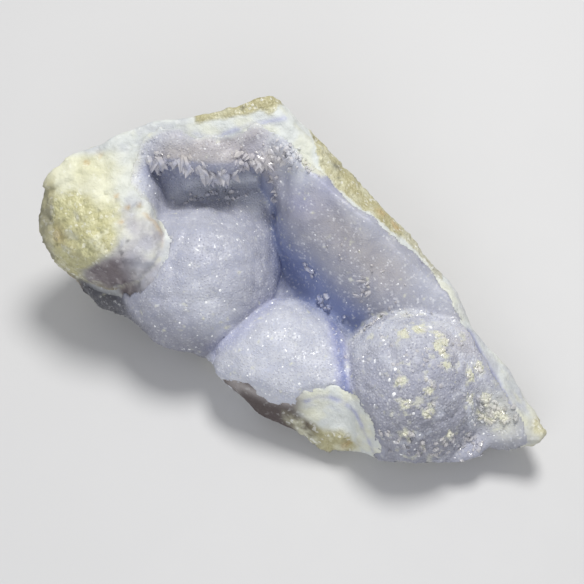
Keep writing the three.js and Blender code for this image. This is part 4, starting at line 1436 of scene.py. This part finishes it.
class QuartzGrains(bpy.types.Operator):
    """Covers the lining with small quartz pyramids, one piece for each part of the hollow"""
    bl_idname = "chalcedony.grains"
    bl_label = "Quartz grains"

    def execute(self, context):
        sizes, look = context.scene.stone_sizes, context.scene.stone_colours
        finish = material_once("quartz grains", grain_finish, look)
        tree = grains_tree()
        bed = bpy.data.objects["druse_bed"]
        for region, (spacing, height, seed) in GRAINS.items():
            piece = grown(bed, tree, "druse_grains_" + region, **{
                "Spacing": sizes.grain_spacing * spacing, "Radius": sizes.grain_radius,
                "Height": sizes.grain_height * height, "Tilt": GRAIN_TILT, "Seed": seed,
                "Region": region, "Finish": finish})
            set_place(piece, in_box(place_of(piece)))
            smooth(piece, False)
            dress(piece, finish)
            print(piece.name, len(piece.data.polygons), "faces")
        return {"FINISHED"}


class QuartzPoints(bpy.types.Operator):
    """Sets the larger quartz points under the rim, in the recess, on the wall and on the right lobe"""
    bl_idname = "chalcedony.points"
    bl_label = "Quartz points"

    def execute(self, context):
        sizes, look = context.scene.stone_sizes, context.scene.stone_colours
        finish = material_once("clear quartz", quartz_finish, look)
        tree = points_tree()
        for seed, (region, rows) in enumerate(POINTS.items()):
            places, aim, wide, long, flat = rooted_points(rows, 40 + seed)
            no_faces = np.zeros((0, 4), int)
            host = mesh_object("host", places, no_faces, aim=aim, wide=wide, long=long, flat=flat)
            piece = grown(host, tree, "quartz_points_" + region, **{
                "Thickness": sizes.point_scale, "Tip": POINT_TIP, "Seed": seed, "Finish": finish})
            bpy.data.objects.remove(host)
            p = place_of(piece)
            set_place(piece, in_box(p))
            keep(piece.data, "tint", np.clip(lining_colour(p, look) * POINT_BRIGHTNESS, 0, 0.9))
            smooth(piece, False)
            dress(piece, finish)
            print(piece.name, len(piece.data.polygons), "faces")
        return {"FINISHED"}


# Lights: place, aim and size in metres, power, colour
LIGHTS = {
    "key light": ((0.07, 0.19, 0.46), (0, 0, 0.01), 0.18, 2.0, (1.0, 0.99, 0.96)),
    "front light": ((-0.1, -0.42, 0.34), (0, 0, 0.01), 0.4, 1.1, (0.98, 0.99, 1.0)),
}
ROOM_COLOUR = (0.97, 0.98, 1.0, 1)
ROOM_STRENGTH = 0.33
FLOOR_LEVEL = -0.05

# The camera of the photo: how far it looks down, its distance, and the height that it looks at
CAMERA_RISE = math.radians(58)
CAMERA_REACH = 0.27578
CAMERA_AIM = 0.016


def soft_light(name, place, aim, size, power, tone):
    light = bpy.data.lights.new(name, "AREA")
    light.shape = "DISK"
    light.size = size
    light.energy = power
    light.color = tone
    made = bpy.data.objects.new(name, light)
    made.location = place
    made.rotation_euler = (Vector(aim) - Vector(place)).to_track_quat("-Z", "Y").to_euler()
    bpy.context.scene.collection.objects.link(made)


class StoneStage(bpy.types.Operator):
    """Sets the floor, the soft lights and the camera"""
    bl_idname = "chalcedony.stage"
    bl_label = "Stage"

    def execute(self, context):
        sizes, look = context.scene.stone_sizes, context.scene.stone_colours
        half = sizes.floor_size / 2 / MM
        corners = [(-half, -half), (half, -half), (half, half), (-half, half)]
        points = np.array([(x, y, FLOOR_LEVEL) for x, y in corners])
        floor = mesh_object("floor", points, np.array([[0, 1, 2, 3]]))
        floor.data.materials.append(material_once("pale floor", floor_finish, look))
        for name, values in LIGHTS.items():
            soft_light(name, *values)
        world = bpy.data.worlds.new("room")
        world.use_nodes = True
        back = world.node_tree.nodes["Background"]
        back.inputs["Color"].default_value = ROOM_COLOUR
        back.inputs["Strength"].default_value = ROOM_STRENGTH
        context.scene.world = world
        context.scene.view_settings.view_transform = "Standard"
        lens = bpy.data.cameras.new("camera")
        lens.lens = 85
        lens.sensor_width = 36
        camera = bpy.data.objects.new("camera", lens)
        level, lift = CAMERA_REACH * math.cos(CAMERA_RISE), CAMERA_REACH * math.sin(CAMERA_RISE)
        camera.location = (0, -level, CAMERA_AIM + lift)
        camera.rotation_euler = (math.pi / 2 - CAMERA_RISE, 0, 0)
        context.scene.collection.objects.link(camera)
        context.scene.camera = camera
        return {"FINISHED"}


OPERATORS = [ChalcedonyStone, CrystalLining, QuartzGrains, QuartzPoints, StoneStage]


class ChalcedonyPanel(bpy.types.Panel):
    """Lists the pieces of the stone"""
    bl_idname = "VIEW3D_PT_chalcedony"
    bl_label = "Chalcedony"
    bl_space_type = "VIEW_3D"
    bl_region_type = "UI"
    bl_category = "Chalcedony"

    def draw(self, context):
        for operator in OPERATORS:
            self.layout.operator(operator.bl_idname)


CLASSES = [StoneSizes, StoneColours, *OPERATORS, ChalcedonyPanel]


def register():
    for item in CLASSES:
        bpy.utils.register_class(item)
    bpy.types.Scene.stone_sizes = bpy.props.PointerProperty(type=StoneSizes)
    bpy.types.Scene.stone_colours = bpy.props.PointerProperty(type=StoneColours)


def unregister():
    del bpy.types.Scene.stone_colours
    del bpy.types.Scene.stone_sizes
    for item in reversed(CLASSES):
        bpy.utils.unregister_class(item)


def main():
    register()
    bpy.ops.chalcedony.stone()
    bpy.ops.chalcedony.lining()
    bpy.ops.chalcedony.grains()
    bpy.ops.chalcedony.points()
    bpy.ops.chalcedony.stage()


if __name__ == "__main__":
    main()
